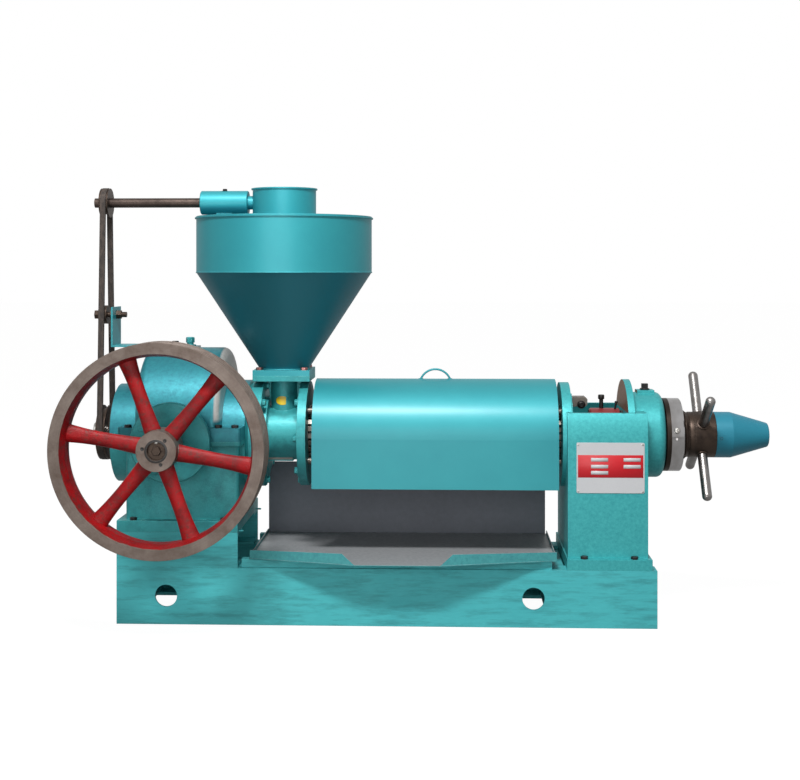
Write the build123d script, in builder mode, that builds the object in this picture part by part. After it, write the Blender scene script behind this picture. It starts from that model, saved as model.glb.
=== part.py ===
from build123d import *
import os
from math import cos, pi, radians, sin, sqrt

os.makedirs("parts", exist_ok=True)

# Screw oil press. X runs along the machine from the gearbox to the adjusting screw,
# Y from the operator's side to the back, Z up. The origin is under the middle of the base.

# Clearances
FIT = 0.05             # radial play of a shaft in its bore
SEAT = 0.3             # gap between round faces of parts that don't turn on each other
BOLT_PLAY = 0.5        # radial play of a bolt in its hole

# Base frame
BASE_LENGTH = 1510.0
BASE_WIDTH = 400.0
BASE_HEIGHT = 160.0
RAIL_FLANGE = 63.0
RAIL_WEB = 8.0
RAIL_FLANGE_THICKNESS = 10.0
LIFT_HOLE_RADIUS = 31.0
LIFT_HOLE_LEFT_INSET = 140.0
LIFT_HOLE_RIGHT_INSET = 342.0
LIFT_HOLES_X = (-BASE_LENGTH / 2 + LIFT_HOLE_LEFT_INSET, BASE_LENGTH / 2 - LIFT_HOLE_RIGHT_INSET)
ANCHOR_HOLE_RADIUS = 9.0
ANCHOR_INSET = 105.0
ANCHOR_SPACING_X = BASE_LENGTH - 2 * ANCHOR_INSET
ANCHOR_SPACING_Y = 340.0
CROSS_MEMBER_WIDTH = 50.0
CROSS_MEMBERS_X = (-BASE_LENGTH / 2, -385.0, 455.0, BASE_LENGTH / 2 - CROSS_MEMBER_WIDTH)

# Press axis and gearbox
AXIS_Z = 515.0
BOX_LEFT = -735.0
BOX_RIGHT = -413.0
BOX_HALF_WIDTH = 176.0
BOX_WALL = 12.0
PLINTH_LEFT = -755.0
PLINTH_HEIGHT = 98.0
PLINTH_FLANGE = 80.0
FOOT_THICKNESS = 32.0
FOOT_LEDGE = 24.0
JOINT_FLANGE_HALF_WIDTH = 225.0
JOINT_FLANGE_REACH = 12.0
LOWER_FLANGE_THICKNESS = 12.0
UPPER_FLANGE_THICKNESS = 38.0
DRUM_LEFT = -705.0
DRUM_RIGHT = -466.0
DRUM_RADIUS = 208.0
DRUM_EDGE = 22.0
DRUM_RISE = 5.0
PAD_HEIGHT = 4.0
PAD_WIDTH = 70.0
PAD_LEFT = -700.0
PAD_RIGHT = -560.0
LEFT_BOSS_RADIUS = 143.0
LEFT_BOSS_END = -790.0
THROAT_RADIUS = 155.0
SMALL_BOLT = 6.0       # shank radius of the M12 bolts
FOOT_BOLT_LEFT_INSET = 25.0
FOOT_BOLT_RIGHT_INSET = 41.0
JOINT_BOLT_LEFT_INSET = 15.0
JOINT_BOLT_MIDDLE = 128.0   # from the wheel's axis
JOINT_BOLT_RIGHT_INSET = 6.0
JOINT_BOLT_SHIFT = 10.0
BREATHER_INSET = 25.0
BREATHER_RING_RADIUS = 17.0
BREATHER_RING_HEIGHT = 4.0
BREATHER_NECK_RADIUS = 10.0
BREATHER_NECK_HEIGHT = 6.0
BREATHER_NUT_RADIUS = 13.0
BREATHER_NUT_HEIGHT = 16.0

# Gear train
WHEEL_X = -593.0
MODULE = 6.0
CROWN_TEETH = 52
PINION_TEETH = 13
CROWN_FACE = 34.0
CROWN_RIM_DEPTH = 16.0
HUB_RADIUS = 45.0
HUB_BORE = 30.0
STUB_RADIUS = 28.0
STUB_END = -868.0
MAIN_BEARING_RADIUS = 75.0
MAIN_BEARING_WIDTH = 38.0

# Drive wheel
WHEEL_FACE_Y = -440.0
WHEEL_RADIUS = 287.0
WHEEL_INNER_RADIUS = 257.0
WHEEL_WIDTH = 100.0
WHEEL_HUB_RADIUS = 54.0
WHEEL_HUB_LENGTH = 96.0
WHEEL_HUB_SETBACK = 8.0
WHEEL_SHAFT_RADIUS = 25.0
GROOVES = 4
GROOVE_WIDTH = 17.0
GROOVE_DEPTH = 14.0
SPOKES = 6
SPOKE_ANGLE = -10.0
SPOKE_WIDTH = 42.0
SPOKE_DEPTH = 27.0
CARRIER_BOSS_RADIUS = 104.0
CARRIER_BOSS_REACH = 15.0
CARRIER_FLANGE_RADIUS = 112.0
CARRIER_RADIUS = 62.0
CARRIER_FLANGE_THICKNESS = 18.0
CARRIER_BOLT_CIRCLE = 88.0
CARRIER_BOLT_ANGLE = 62.0
WHEEL_BEARING_RADIUS = 50.0
WHEEL_BEARING_WIDTH = 24.0

# Feed housing and press cage
NECK_RING_LEFT = -401.0
NECK_RING_RIGHT = -359.0
NECK_RING_RADIUS = 155.0
FEED_RIGHT = -254.0
FEED_RADIUS = 78.0
CHAMBER_RADIUS = 62.0
INLET_X = -306.0
INLET_RADIUS = 39.0
INLET_BORE = 33.0
FEED_FLANGE = 12.0
RIB_THICKNESS = 12.0
DRAIN_PAD = 76.0
PLATE_SIZE = 165.0
PLATE_THICKNESS = 16.0
PLATE_TOP_Z = 704.0
CAGE_LEFT = -229.0
CAGE_RIGHT = 499.0
CAGE_RING_RADIUS = 152.0
CAGE_BARS = 24
BAR_WIDTH = 14.0
BAR_DEPTH = 18.0
CLAMP_RINGS = 6
CLAMP_RING_RADIUS = 120.0
CLAMP_RING_WIDTH = 28.0
TIE_RADIUS = 10.0
TIE_CIRCLE = 102.0

# Press shaft and worms
SHAFT_LEFT = -700.0
SHAFT_RIGHT = 850.0
WORM_RADIUS = 60.0
WORM_START = -326.0
WORM_SECTIONS = 6
WORM_SECTION_LENGTH = 136.0
WORM_PITCH = 100.0
WORM_FIRST_CORE = 36.0
WORM_CORE_STEP = 2.2
FLIGHT_THICKNESS = 12.0
CHOKE_LENGTH = 36.0

# Hopper and feeder
HOPPER_RADIUS = 257.0
HOPPER_BAND_Z = 987.0
HOPPER_TOP_Z = 1147.0
HOPPER_NECK_RADIUS = 72.0
SHEET = 3.0
RIM_REACH = 4.0
THROAT_HOLE = 80.0
COLLAR_RADIUS = 93.0
COLLAR_HEIGHT = 83.0
COLLAR_RIM = 4.0
TOP_SHAFT_RISE = 42.0
TOP_SHAFT_RADIUS = 14.0
TOP_SHAFT_LEFT = -868.0
SLEEVE_LEFT = -552.0
SLEEVE_RIGHT = -412.0
SLEEVE_RADIUS = 35.0
SLEEVE_NOSE_RADIUS = 20.0
SLEEVE_SADDLE = 46.0
MITRE_TEETH = 16
MITRE_MODULE = 3.25
MITRE_FACE = 11.0
MITRE_HUB = 2.0
TOOTH_INSET = 0.015    # each tooth ends this share of the cone short of its edges
AUGER_SHAFT_RADIUS = 12.0
AUGER_RADIUS = 31.0
AUGER_BOTTOM_Z = 586.0
AUGER_PITCH = 45.0
AUGER_TURNS = 4
HANGER_WIDTH = 24.0
HANGER_THICKNESS = 8.0
HANGER_BOSS_RADIUS = 22.0

# Feeder belt
BELT_X = -835.0
BELT_WIDTH = 16.0
BELT_THICKNESS = 10.0
LOWER_PULLEY_RADIUS = 76.0
UPPER_PULLEY_RADIUS = 39.0
PULLEY_LIP = 4.0
PULLEY_WIDTH = 26.0
IDLER_RADIUS = 27.0
IDLER_WIDTH = 24.0
IDLER_Z = 863.0
IDLER_BOLT_RADIUS = 8.0
BRACKET_X = -800.0
BRACKET_THICKNESS = 5.0
BRACKET_WIDTH = 100.0
BRACKET_TOP_Z = 886.0
BRACKET_FOOT_RIGHT = -606.0
BRACKET_CENTRE_Y = -25.0

# Hood
HOOD_LEFT = -210.0
HOOD_RIGHT = 487.0
HOOD_RADIUS = 160.0
HOOD_FRONT_Z = 375.0
HOOD_REAR_Z = 416.0
HANDLE_LEFT = 96.0
HANDLE_RIGHT = 181.0
HANDLE_HEIGHT = 28.0
HANDLE_WIRE = 3.0
HINGE_RADIUS = 12.0
HINGE_PIN_RADIUS = 5.0
HINGE_LEAF = 3.0
HINGE_LENGTH = 80.0
HINGES_X = (-100.0, 135.0, 370.0)

# Oil tray
TRAY_LEFT = -380.0
TRAY_RIGHT = 478.0
TRAY_BACK_Y = 190.0
TRAY_END_Y = -200.0
TRAY_NOSE_Y = -280.0
TRAY_BAR_HEIGHT = 24.0
TRAY_BAR_LEFT = -403.0
TRAY_BAR_RIGHT = 465.0
TRAY_LIP = 25.0
SPOUT_LEFT = -78.0
SPOUT_RIGHT = 151.0
SPOUT_TAPER = 37.0
SPOUT_DROP = 20.0
SPLASH_RIGHT = 488.0

# Cake frame
FRAME_LEFT = 510.0
FRAME_RIGHT = 733.0
FRAME_FOOT_THICKNESS = 30.0
FRAME_FOOT_LEFT = 506.0
FRAME_FOOT_RIGHT = 742.0
FRAME_BOLT_INSET = 48.5
FRAME_WALL = 14.0
WINDOW_Z = 592.0
LEFT_RING_RADIUS = 151.0
LEFT_RING_RIGHT = 526.0
RIGHT_RING_LEFT = 683.0
RIGHT_RING_RIGHT = 702.0
RIGHT_RING_RADIUS = 160.0
BEARING_BOSS_RADIUS = 123.0
BEARING_BOSS_RIGHT = 794.0
BOSS_EDGE = 18.0
PLUG_X = 748.0
PLUG_PAD = 7.0
PLUG_PAD_LENGTH = 50.0
SCRAPER_LENGTH = 54.0
SCRAPER_WIDTH = 44.0
SCRAPER_HEIGHT = 28.0
SCRAPER_BOTTOM = 82.0
NAMEPLATE_LEFT = 534.0
NAMEPLATE_RIGHT = 723.0
NAMEPLATE_BOTTOM_Z = 371.0
NAMEPLATE_TOP_Z = 512.0
NAMEPLATE_THICKNESS = 1.5

# Adjusting end
SCREW_RADIUS = 70.0
SCREW_INNER_X = 672.0
SCREW_BORE = 42.0
HEAD_LEFT = 870.0
HEAD_RIGHT = 946.0
HEAD_RADIUS = 66.0
LOCK_LEFT = 796.0
LOCK_RIGHT = 847.0
LOCK_RADIUS = 105.6
ROD_X = 908.0
ROD_RADIUS = 14.0
ROD_REACH = 209.0
ROD_ROOT = 40.0
ROD_ANGLE = 34.5
CONE_CYLINDER_END = 993.0
CONE_END = 1102.0
CONE_TIP_RADIUS = 34.0
CUP_LEFT = 586.0
CUP_RADIUS = 76.0
THRUST_COLLAR_RADIUS = 50.0
THRUST_COLLAR_LENGTH = 24.0

# Places worked out from the sizes above
RAIL_TOP = BASE_HEIGHT
PLINTH_TOP = RAIL_TOP + PLINTH_HEIGHT
FOOT_TOP = PLINTH_TOP + FOOT_THICKNESS
FOOT_HALF_WIDTH = BOX_HALF_WIDTH + FOOT_LEDGE
FLANGE_TOP = AXIS_Z + UPPER_FLANGE_THICKNESS
DRUM_Z = FLANGE_TOP + DRUM_RISE
COVER_TOP = DRUM_Z + DRUM_RADIUS + PAD_HEIGHT
CROWN_RADIUS = MODULE * CROWN_TEETH / 2
MITRE_RADIUS = MITRE_MODULE * MITRE_TEETH / 2
GEAR_APEX = Vector(WHEEL_X, 0, AXIS_Z)
LID_TOP = HOPPER_TOP_Z + SHEET
COLLAR_TOP_Z = LID_TOP + COLLAR_HEIGHT
TOP_SHAFT_Z = LID_TOP + TOP_SHAFT_RISE
MITRE_APEX = Vector(INLET_X, 0, TOP_SHAFT_Z)
TRAY_FLOOR = RAIL_TOP + TRAY_BAR_HEIGHT
HINGE_Y = HOOD_RADIUS + HINGE_LEAF + HINGE_RADIUS
SPLASH_Y = HINGE_Y + HINGE_RADIUS + HINGE_LEAF
HINGE_Z = HOOD_REAR_Z - HINGE_RADIUS
BORE_Y = -(JOINT_FLANGE_HALF_WIDTH + CARRIER_BOSS_REACH)
rod_angles = [ROD_ANGLE, ROD_ANGLE + 90, ROD_ANGLE + 180, ROD_ANGLE + 270]
frame_bolts = [
    (x, y) for x in (FRAME_FOOT_LEFT + FRAME_BOLT_INSET, FRAME_FOOT_RIGHT - FRAME_BOLT_INSET)
    for y in (-(BOX_HALF_WIDTH + FOOT_LEDGE / 2), BOX_HALF_WIDTH + FOOT_LEDGE / 2)
]
plate_bolt_offset = PLATE_SIZE / 2 - 3 * SMALL_BOLT
plate_bolts = [
    (INLET_X + i * plate_bolt_offset, j * plate_bolt_offset) for i in (-1, 1) for j in (-1, 1)
]


def write_node(builder, name):
    """Label a finished piece and write it to its own file."""
    builder.part.label = name
    export_step(builder.part, "parts/" + name + ".step")


def write_group(parts, name):
    """Write separate solids that share one node."""
    group = Compound(children=list(parts))
    group.label = name
    export_step(group, "parts/" + name + ".step")


def hex_bolt(shank_radius, shank_length):
    """A hexagon bolt with its seat at z = 0 and its shank going down."""
    with BuildPart() as bolt:
        with BuildSketch():
            RegularPolygon(1.5 * shank_radius, 6, major_radius=False)
        extrude(amount=1.3 * shank_radius)
        chamfer(bolt.faces().sort_by(Axis.Z)[-1].edges(), 0.2 * shank_radius)
        with BuildSketch():
            Circle(shank_radius)
        extrude(amount=-shank_length)
    return bolt.part


def bolts_at(planes, shank_radius, shank_length):
    """Copies of one bolt, each seated on a plane."""
    bolt = hex_bolt(shank_radius, shank_length)
    return [plane.location * bolt for plane in planes]


def bevel_gear(teeth, mate_teeth, module, face, bore, rim_depth, hub_radius, hub_length, phase):
    """A straight bevel gear with its cone's apex at the origin and its back towards -Z."""
    pitch = module * teeth / 2
    depth = module * mate_teeth / 2
    reach = sqrt(pitch * pitch + depth * depth)
    small = (reach - face) / reach
    addendum, dedendum = 0.75 * module, 1.0 * module
    root_r = pitch - dedendum * depth / reach
    root_z = -depth - dedendum * pitch / reach
    tooth_width = 0.42 * pi * module
    tip = tooth_width / 2 - 0.45 * addendum
    root = tooth_width / 2 + 0.3 * dedendum
    low = -1.15 * dedendum
    normal = Vector(-pitch / reach, 0, depth / reach)
    with BuildPart() as tooth:
        for scale in (1 - TOOTH_INSET, small + TOOTH_INSET):
            corner = Vector(pitch, 0, -depth) * scale
            with BuildSketch(Plane(origin=corner, x_dir=(0, -1, 0), z_dir=normal)):
                with BuildLine():
                    Polyline(
                        (-root * scale, low * scale), (-tip * scale, addendum * scale),
                        (tip * scale, addendum * scale), (root * scale, low * scale), close=True,
                    )
                make_face()
        loft()
    with BuildPart() as gear:
        with BuildSketch(Plane.XZ):
            with BuildLine():
                back = root_z - rim_depth
                Polyline(
                    (bore, back - hub_length), (hub_radius, back - hub_length), (hub_radius, back),
                    (root_r, back), (root_r, root_z), (small * root_r, small * root_z),
                    (bore, small * root_z), close=True,
                )
            make_face()
        revolve(axis=Axis.Z)
        with PolarLocations(0, teeth, start_angle=360 * phase / teeth):
            add(tooth.part)
    return gear.part


def screw_flight(core_radius, outer_radius, pitch, length, thickness):
    """One right-hand flight round the Z axis, from z = 0 up."""
    mean = (core_radius + outer_radius) / 2
    with BuildPart() as flight:
        with BuildLine() as path:
            Helix(pitch, length, mean)
        with BuildSketch(Plane(origin=path.line @ 0, x_dir=(1, 0, 0), z_dir=path.line % 0)):
            Rectangle(outer_radius - core_radius, thickness)
        sweep(is_frenet=True)
    return flight


# Base: two channel rails with their open sides inwards, and channel cross members
for side, rail_name in ((-1, "front_rail"), (1, "rear_rail")):
    rail_centre = side * (BASE_WIDTH - RAIL_FLANGE) / 2
    with BuildPart() as rail:
        with BuildSketch(Plane.YZ.offset(-BASE_LENGTH / 2)):
            with Locations((rail_centre, BASE_HEIGHT / 2)):
                Rectangle(RAIL_FLANGE, BASE_HEIGHT)
            with Locations((rail_centre - side * RAIL_WEB, BASE_HEIGHT / 2)):
                Rectangle(RAIL_FLANGE, BASE_HEIGHT - 2 * RAIL_FLANGE_THICKNESS, mode=Mode.SUBTRACT)
        extrude(amount=BASE_LENGTH)
        with BuildSketch(Plane.XZ):
            with Locations(*[(x, BASE_HEIGHT / 2) for x in LIFT_HOLES_X]):
                Circle(LIFT_HOLE_RADIUS)
        extrude(amount=BASE_WIDTH, both=True, mode=Mode.SUBTRACT)
        with BuildSketch():
            with Locations((0, side * ANCHOR_SPACING_Y / 2)):
                with GridLocations(ANCHOR_SPACING_X, 1, 2, 1):
                    Circle(ANCHOR_HOLE_RADIUS)
        extrude(amount=RAIL_FLANGE_THICKNESS, mode=Mode.SUBTRACT)
    write_node(rail, rail_name)

cross_members = []
for left in CROSS_MEMBERS_X:
    inner_height = BASE_HEIGHT - 2 * RAIL_FLANGE_THICKNESS
    inner_width = BASE_WIDTH - 2 * RAIL_WEB
    flip = 1 if left < 0 else -1
    middle = left + CROSS_MEMBER_WIDTH / 2
    with BuildPart() as cross_member:
        with BuildSketch(Plane.XZ.offset(-inner_width / 2)):
            with Locations((middle, BASE_HEIGHT / 2)):
                Rectangle(CROSS_MEMBER_WIDTH, inner_height)
            with Locations((middle + flip * RAIL_WEB, BASE_HEIGHT / 2)):
                Rectangle(CROSS_MEMBER_WIDTH, inner_height - 2 * RAIL_WEB, mode=Mode.SUBTRACT)
        extrude(amount=inner_width)
    cross_members.append(cross_member.part)
write_group(cross_members, "cross_members")

tray_bars = []
for side in (-1, 1):
    with BuildPart() as tray_bar:
        with BuildSketch(Plane.XY.offset(RAIL_TOP)):
            with Locations(((TRAY_BAR_LEFT + TRAY_BAR_RIGHT) / 2, side * (BASE_WIDTH / 2 - 18))):
                Rectangle(TRAY_BAR_RIGHT - TRAY_BAR_LEFT, TRAY_BAR_HEIGHT)
        extrude(amount=TRAY_BAR_HEIGHT)
    tray_bars.append(tray_bar.part)
write_group(tray_bars, "tray_bars")

# Plinth under the gearbox: two more channels
plinth_channels = []
for side in (-1, 1):
    plinth_centre = side * (BASE_WIDTH - PLINTH_FLANGE) / 2
    with BuildPart() as plinth:
        with BuildSketch(Plane.YZ.offset(PLINTH_LEFT)):
            with Locations((plinth_centre, RAIL_TOP + PLINTH_HEIGHT / 2)):
                Rectangle(PLINTH_FLANGE, PLINTH_HEIGHT)
            with Locations((plinth_centre - side * RAIL_WEB, RAIL_TOP + PLINTH_HEIGHT / 2)):
                Rectangle(PLINTH_FLANGE, PLINTH_HEIGHT - 2 * RAIL_WEB, mode=Mode.SUBTRACT)
        extrude(amount=BOX_RIGHT - PLINTH_LEFT)
    plinth_channels.append(plinth.part)
write_group(plinth_channels, "plinth_channels")

# Gearbox: a lower housing and a drum-shaped cover that part at the shaft's height
foot_bolts = [
    (x, y) for x in (BOX_LEFT + FOOT_BOLT_LEFT_INSET, BOX_RIGHT - FOOT_BOLT_RIGHT_INSET)
    for y in (-(BOX_HALF_WIDTH + FOOT_LEDGE / 2), BOX_HALF_WIDTH + FOOT_LEDGE / 2)
]
joint_bolt_y = (JOINT_FLANGE_HALF_WIDTH + BOX_HALF_WIDTH) / 2 + JOINT_BOLT_SHIFT
joint_bolts_x = (BOX_LEFT + JOINT_BOLT_LEFT_INSET, WHEEL_X + JOINT_BOLT_MIDDLE,
                 BOX_RIGHT - JOINT_BOLT_RIGHT_INSET)
joint_bolts = [(x, y) for x in joint_bolts_x for y in (-joint_bolt_y, joint_bolt_y)]

with BuildPart() as housing:
    with BuildSketch(Plane.XY.offset(PLINTH_TOP)):
        with Locations(((PLINTH_LEFT + BOX_RIGHT) / 2, 0)):
            Rectangle(BOX_RIGHT - PLINTH_LEFT, 2 * FOOT_HALF_WIDTH)
    extrude(amount=FOOT_THICKNESS)
    with BuildSketch(Plane.XY.offset(PLINTH_TOP)):
        with Locations(((BOX_LEFT + BOX_RIGHT) / 2, 0)):
            Rectangle(BOX_RIGHT - BOX_LEFT, 2 * BOX_HALF_WIDTH)
    extrude(amount=AXIS_Z - PLINTH_TOP)
    fillet(housing.edges().filter_by(Axis.Z).group_by(Axis.Z)[-1], 10)
    with BuildSketch(Plane.XY.offset(AXIS_Z - LOWER_FLANGE_THICKNESS)):
        with Locations(((BOX_LEFT + BOX_RIGHT) / 2, 0)):
            RectangleRounded(BOX_RIGHT - BOX_LEFT + 2 * JOINT_FLANGE_REACH,
                             2 * JOINT_FLANGE_HALF_WIDTH, 8)
    extrude(amount=LOWER_FLANGE_THICKNESS)
    with BuildSketch(Plane.YZ.offset(LEFT_BOSS_END)):
        with Locations((0, AXIS_Z)):
            Circle(LEFT_BOSS_RADIUS)
    extrude(amount=BOX_LEFT - LEFT_BOSS_END)
    with BuildSketch(Plane.YZ.offset(NECK_RING_LEFT)):
        with Locations((0, AXIS_Z)):
            Circle(THROAT_RADIUS)
    extrude(amount=BOX_RIGHT - NECK_RING_LEFT)
    with BuildSketch(Plane.XZ.offset(-BORE_Y)):
        with Locations((WHEEL_X, AXIS_Z)):
            Circle(CARRIER_BOSS_RADIUS)
    extrude(amount=BORE_Y + BOX_HALF_WIDTH)
    with BuildSketch(Plane.XY.offset(FOOT_TOP - FOOT_THICKNESS + BOX_WALL)):
        with Locations(((BOX_LEFT + BOX_RIGHT) / 2, 0)):
            Rectangle(BOX_RIGHT - BOX_LEFT - 2 * BOX_WALL, 2 * (BOX_HALF_WIDTH - BOX_WALL))
    extrude(amount=AXIS_Z, mode=Mode.SUBTRACT)
    with BuildSketch(Plane.YZ.offset(LEFT_BOSS_END)):
        with Locations((0, AXIS_Z)):
            Circle(MAIN_BEARING_RADIUS + SEAT)
    extrude(amount=NECK_RING_LEFT - LEFT_BOSS_END, mode=Mode.SUBTRACT)
    with BuildSketch(Plane.XZ.offset(-BORE_Y)):
        with Locations((WHEEL_X, AXIS_Z)):
            Circle(CARRIER_RADIUS + SEAT)
    extrude(amount=BORE_Y + BOX_HALF_WIDTH - BOX_WALL, mode=Mode.SUBTRACT)
    with BuildSketch(Plane.XY.offset(FOOT_TOP)):
        with Locations(*foot_bolts):
            Circle(SMALL_BOLT + BOLT_PLAY)
    extrude(amount=-FOOT_THICKNESS, mode=Mode.SUBTRACT)
    with BuildSketch(Plane.XY.offset(AXIS_Z)):
        with Locations(*joint_bolts):
            Circle(SMALL_BOLT + BOLT_PLAY)
    extrude(amount=-LOWER_FLANGE_THICKNESS, mode=Mode.SUBTRACT)
    split(bisect_by=Plane.XY.offset(AXIS_Z), keep=Keep.BOTTOM)
write_node(housing, "gearbox_housing")

with BuildPart() as cover:
    with BuildSketch(Plane.YZ.offset(DRUM_LEFT)):
        with Locations((0, DRUM_Z)):
            Circle(DRUM_RADIUS)
        with Locations((0, (AXIS_Z + DRUM_Z) / 2)):
            Rectangle(2 * DRUM_RADIUS, DRUM_Z - AXIS_Z)
    extrude(amount=DRUM_RIGHT - DRUM_LEFT)
    split(bisect_by=Plane.XY.offset(AXIS_Z), keep=Keep.TOP)
    round_ends = cover.edges().filter_by(GeomType.CIRCLE)
    fillet(round_ends, DRUM_EDGE)
    with BuildSketch(Plane.XY.offset(AXIS_Z)):
        with Locations(((BOX_LEFT + BOX_RIGHT) / 2, 0)):
            RectangleRounded(BOX_RIGHT - BOX_LEFT + 2 * JOINT_FLANGE_REACH,
                             2 * JOINT_FLANGE_HALF_WIDTH, 8)
    extrude(amount=UPPER_FLANGE_THICKNESS)
    with BuildSketch(Plane.YZ.offset(LEFT_BOSS_END)):
        with Locations((0, AXIS_Z)):
            Circle(LEFT_BOSS_RADIUS)
    extrude(amount=DRUM_LEFT + DRUM_EDGE - LEFT_BOSS_END)
    with BuildSketch(Plane.YZ.offset(NECK_RING_LEFT)):
        with Locations((0, AXIS_Z)):
            Circle(THROAT_RADIUS)
    extrude(amount=DRUM_RIGHT - DRUM_EDGE - NECK_RING_LEFT)
    with BuildSketch(Plane.XZ.offset(-BORE_Y)):
        with Locations((WHEEL_X, AXIS_Z)):
            Circle(CARRIER_BOSS_RADIUS)
    extrude(amount=BORE_Y + BOX_HALF_WIDTH)
    with BuildSketch(Plane.XY.offset(COVER_TOP)):
        with Locations(((PAD_LEFT + PAD_RIGHT) / 2, 0)):
            Rectangle(PAD_RIGHT - PAD_LEFT, PAD_WIDTH)
    extrude(amount=-3 * PAD_HEIGHT)
    with BuildSketch(Plane.XY.offset(AXIS_Z)):
        with Locations(((BOX_LEFT + BOX_RIGHT) / 2, 0)):
            Rectangle(BOX_RIGHT - BOX_LEFT - 2 * BOX_WALL, 2 * (BOX_HALF_WIDTH - BOX_WALL))
    extrude(amount=UPPER_FLANGE_THICKNESS - BOX_WALL, mode=Mode.SUBTRACT)
    with BuildSketch(Plane.YZ.offset(DRUM_LEFT + BOX_WALL)):
        with Locations((0, DRUM_Z)):
            Circle(DRUM_RADIUS - BOX_WALL)
    extrude(amount=DRUM_RIGHT - DRUM_LEFT - 2 * BOX_WALL, mode=Mode.SUBTRACT)
    with BuildSketch(Plane.YZ.offset(LEFT_BOSS_END)):
        with Locations((0, AXIS_Z)):
            Circle(MAIN_BEARING_RADIUS + SEAT)
    extrude(amount=NECK_RING_LEFT - LEFT_BOSS_END, mode=Mode.SUBTRACT)
    with BuildSketch(Plane.XZ.offset(-BORE_Y)):
        with Locations((WHEEL_X, AXIS_Z)):
            Circle(CARRIER_RADIUS + SEAT)
    extrude(amount=BORE_Y + BOX_HALF_WIDTH - BOX_WALL, mode=Mode.SUBTRACT)
    with BuildSketch(Plane.XY.offset(AXIS_Z)):
        with Locations(*joint_bolts):
            Circle(SMALL_BOLT + BOLT_PLAY)
    extrude(amount=UPPER_FLANGE_THICKNESS, mode=Mode.SUBTRACT)
    split(bisect_by=Plane.XY.offset(AXIS_Z), keep=Keep.TOP)
write_node(cover, "gearbox_cover")

foot_planes = [Plane((x, y, FOOT_TOP)) for x, y in foot_bolts]
gearbox_bolts = bolts_at(foot_planes, SMALL_BOLT, FOOT_THICKNESS)
joint_planes = [Plane((x, y, FLANGE_TOP)) for x, y in joint_bolts]
joint_grip = UPPER_FLANGE_THICKNESS + LOWER_FLANGE_THICKNESS
gearbox_bolts += bolts_at(joint_planes, SMALL_BOLT, joint_grip)
write_group(gearbox_bolts, "gearbox_bolts")

breather_x = PAD_RIGHT - BREATHER_INSET
breather_neck = COVER_TOP + BREATHER_RING_HEIGHT
with BuildPart() as plug:
    with BuildSketch(Plane.XY.offset(COVER_TOP)):
        with Locations((breather_x, 0)):
            Circle(BREATHER_RING_RADIUS)
    extrude(amount=BREATHER_RING_HEIGHT)
    with BuildSketch(Plane.XY.offset(breather_neck)):
        with Locations((breather_x, 0)):
            Circle(BREATHER_NECK_RADIUS)
    extrude(amount=BREATHER_NECK_HEIGHT)
    with BuildSketch(Plane.XY.offset(breather_neck + BREATHER_NECK_HEIGHT)):
        with Locations((breather_x, 0)):
            RegularPolygon(BREATHER_NUT_RADIUS, 6)
    extrude(amount=BREATHER_NUT_HEIGHT)
    chamfer(plug.faces().sort_by(Axis.Z)[-1].edges(), 2)
write_node(plug, "breather_plug")

# Bearing carrier of the drive wheel's shaft, bolted to the front of the gearbox
carrier_face_y = BORE_Y
carrier_angles = [90 * k + CARRIER_BOLT_ANGLE for k in range(4)]
with BuildPart() as carrier:
    with BuildSketch(Plane.XZ.offset(-carrier_face_y)):
        with Locations((WHEEL_X, AXIS_Z)):
            Circle(CARRIER_FLANGE_RADIUS)
    extrude(amount=CARRIER_FLANGE_THICKNESS)
    fillet(carrier.faces().sort_by(Axis.Y)[0].edges(), 4)
    with BuildSketch(Plane.XZ.offset(-carrier_face_y)):
        with Locations((WHEEL_X, AXIS_Z)):
            Circle(CARRIER_RADIUS)
    extrude(amount=carrier_face_y + BOX_HALF_WIDTH)
    with BuildSketch(Plane.XZ.offset(-(carrier_face_y - CARRIER_FLANGE_THICKNESS))):
        with Locations((WHEEL_X, AXIS_Z)):
            Circle(WHEEL_SHAFT_RADIUS + 2)
    extrude(amount=-3 * WHEEL_RADIUS, mode=Mode.SUBTRACT)
    with BuildSketch(Plane.XZ.offset(-(carrier_face_y - CARRIER_FLANGE_THICKNESS + BOX_WALL))):
        with Locations((WHEEL_X, AXIS_Z)):
            Circle(WHEEL_BEARING_RADIUS)
    extrude(amount=-3 * WHEEL_RADIUS, mode=Mode.SUBTRACT)
    with BuildSketch(Plane.XZ.offset(-(carrier_face_y - CARRIER_FLANGE_THICKNESS))):
        with Locations((WHEEL_X, AXIS_Z)):
            with PolarLocations(CARRIER_BOLT_CIRCLE, len(carrier_angles), start_angle=carrier_angles[0]):
                Circle(SMALL_BOLT + BOLT_PLAY)
    extrude(amount=-CARRIER_FLANGE_THICKNESS, mode=Mode.SUBTRACT)
write_node(carrier, "wheel_bearing_carrier")

carrier_planes = [
    Plane(
        origin=(WHEEL_X + CARRIER_BOLT_CIRCLE * cos(radians(angle)),
                carrier_face_y - CARRIER_FLANGE_THICKNESS,
                AXIS_Z + CARRIER_BOLT_CIRCLE * sin(radians(angle))),
        x_dir=(1, 0, 0), z_dir=(0, -1, 0),
    )
    for angle in carrier_angles
]
write_group(bolts_at(carrier_planes, SMALL_BOLT, CARRIER_FLANGE_THICKNESS), "carrier_bolts")

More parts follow.
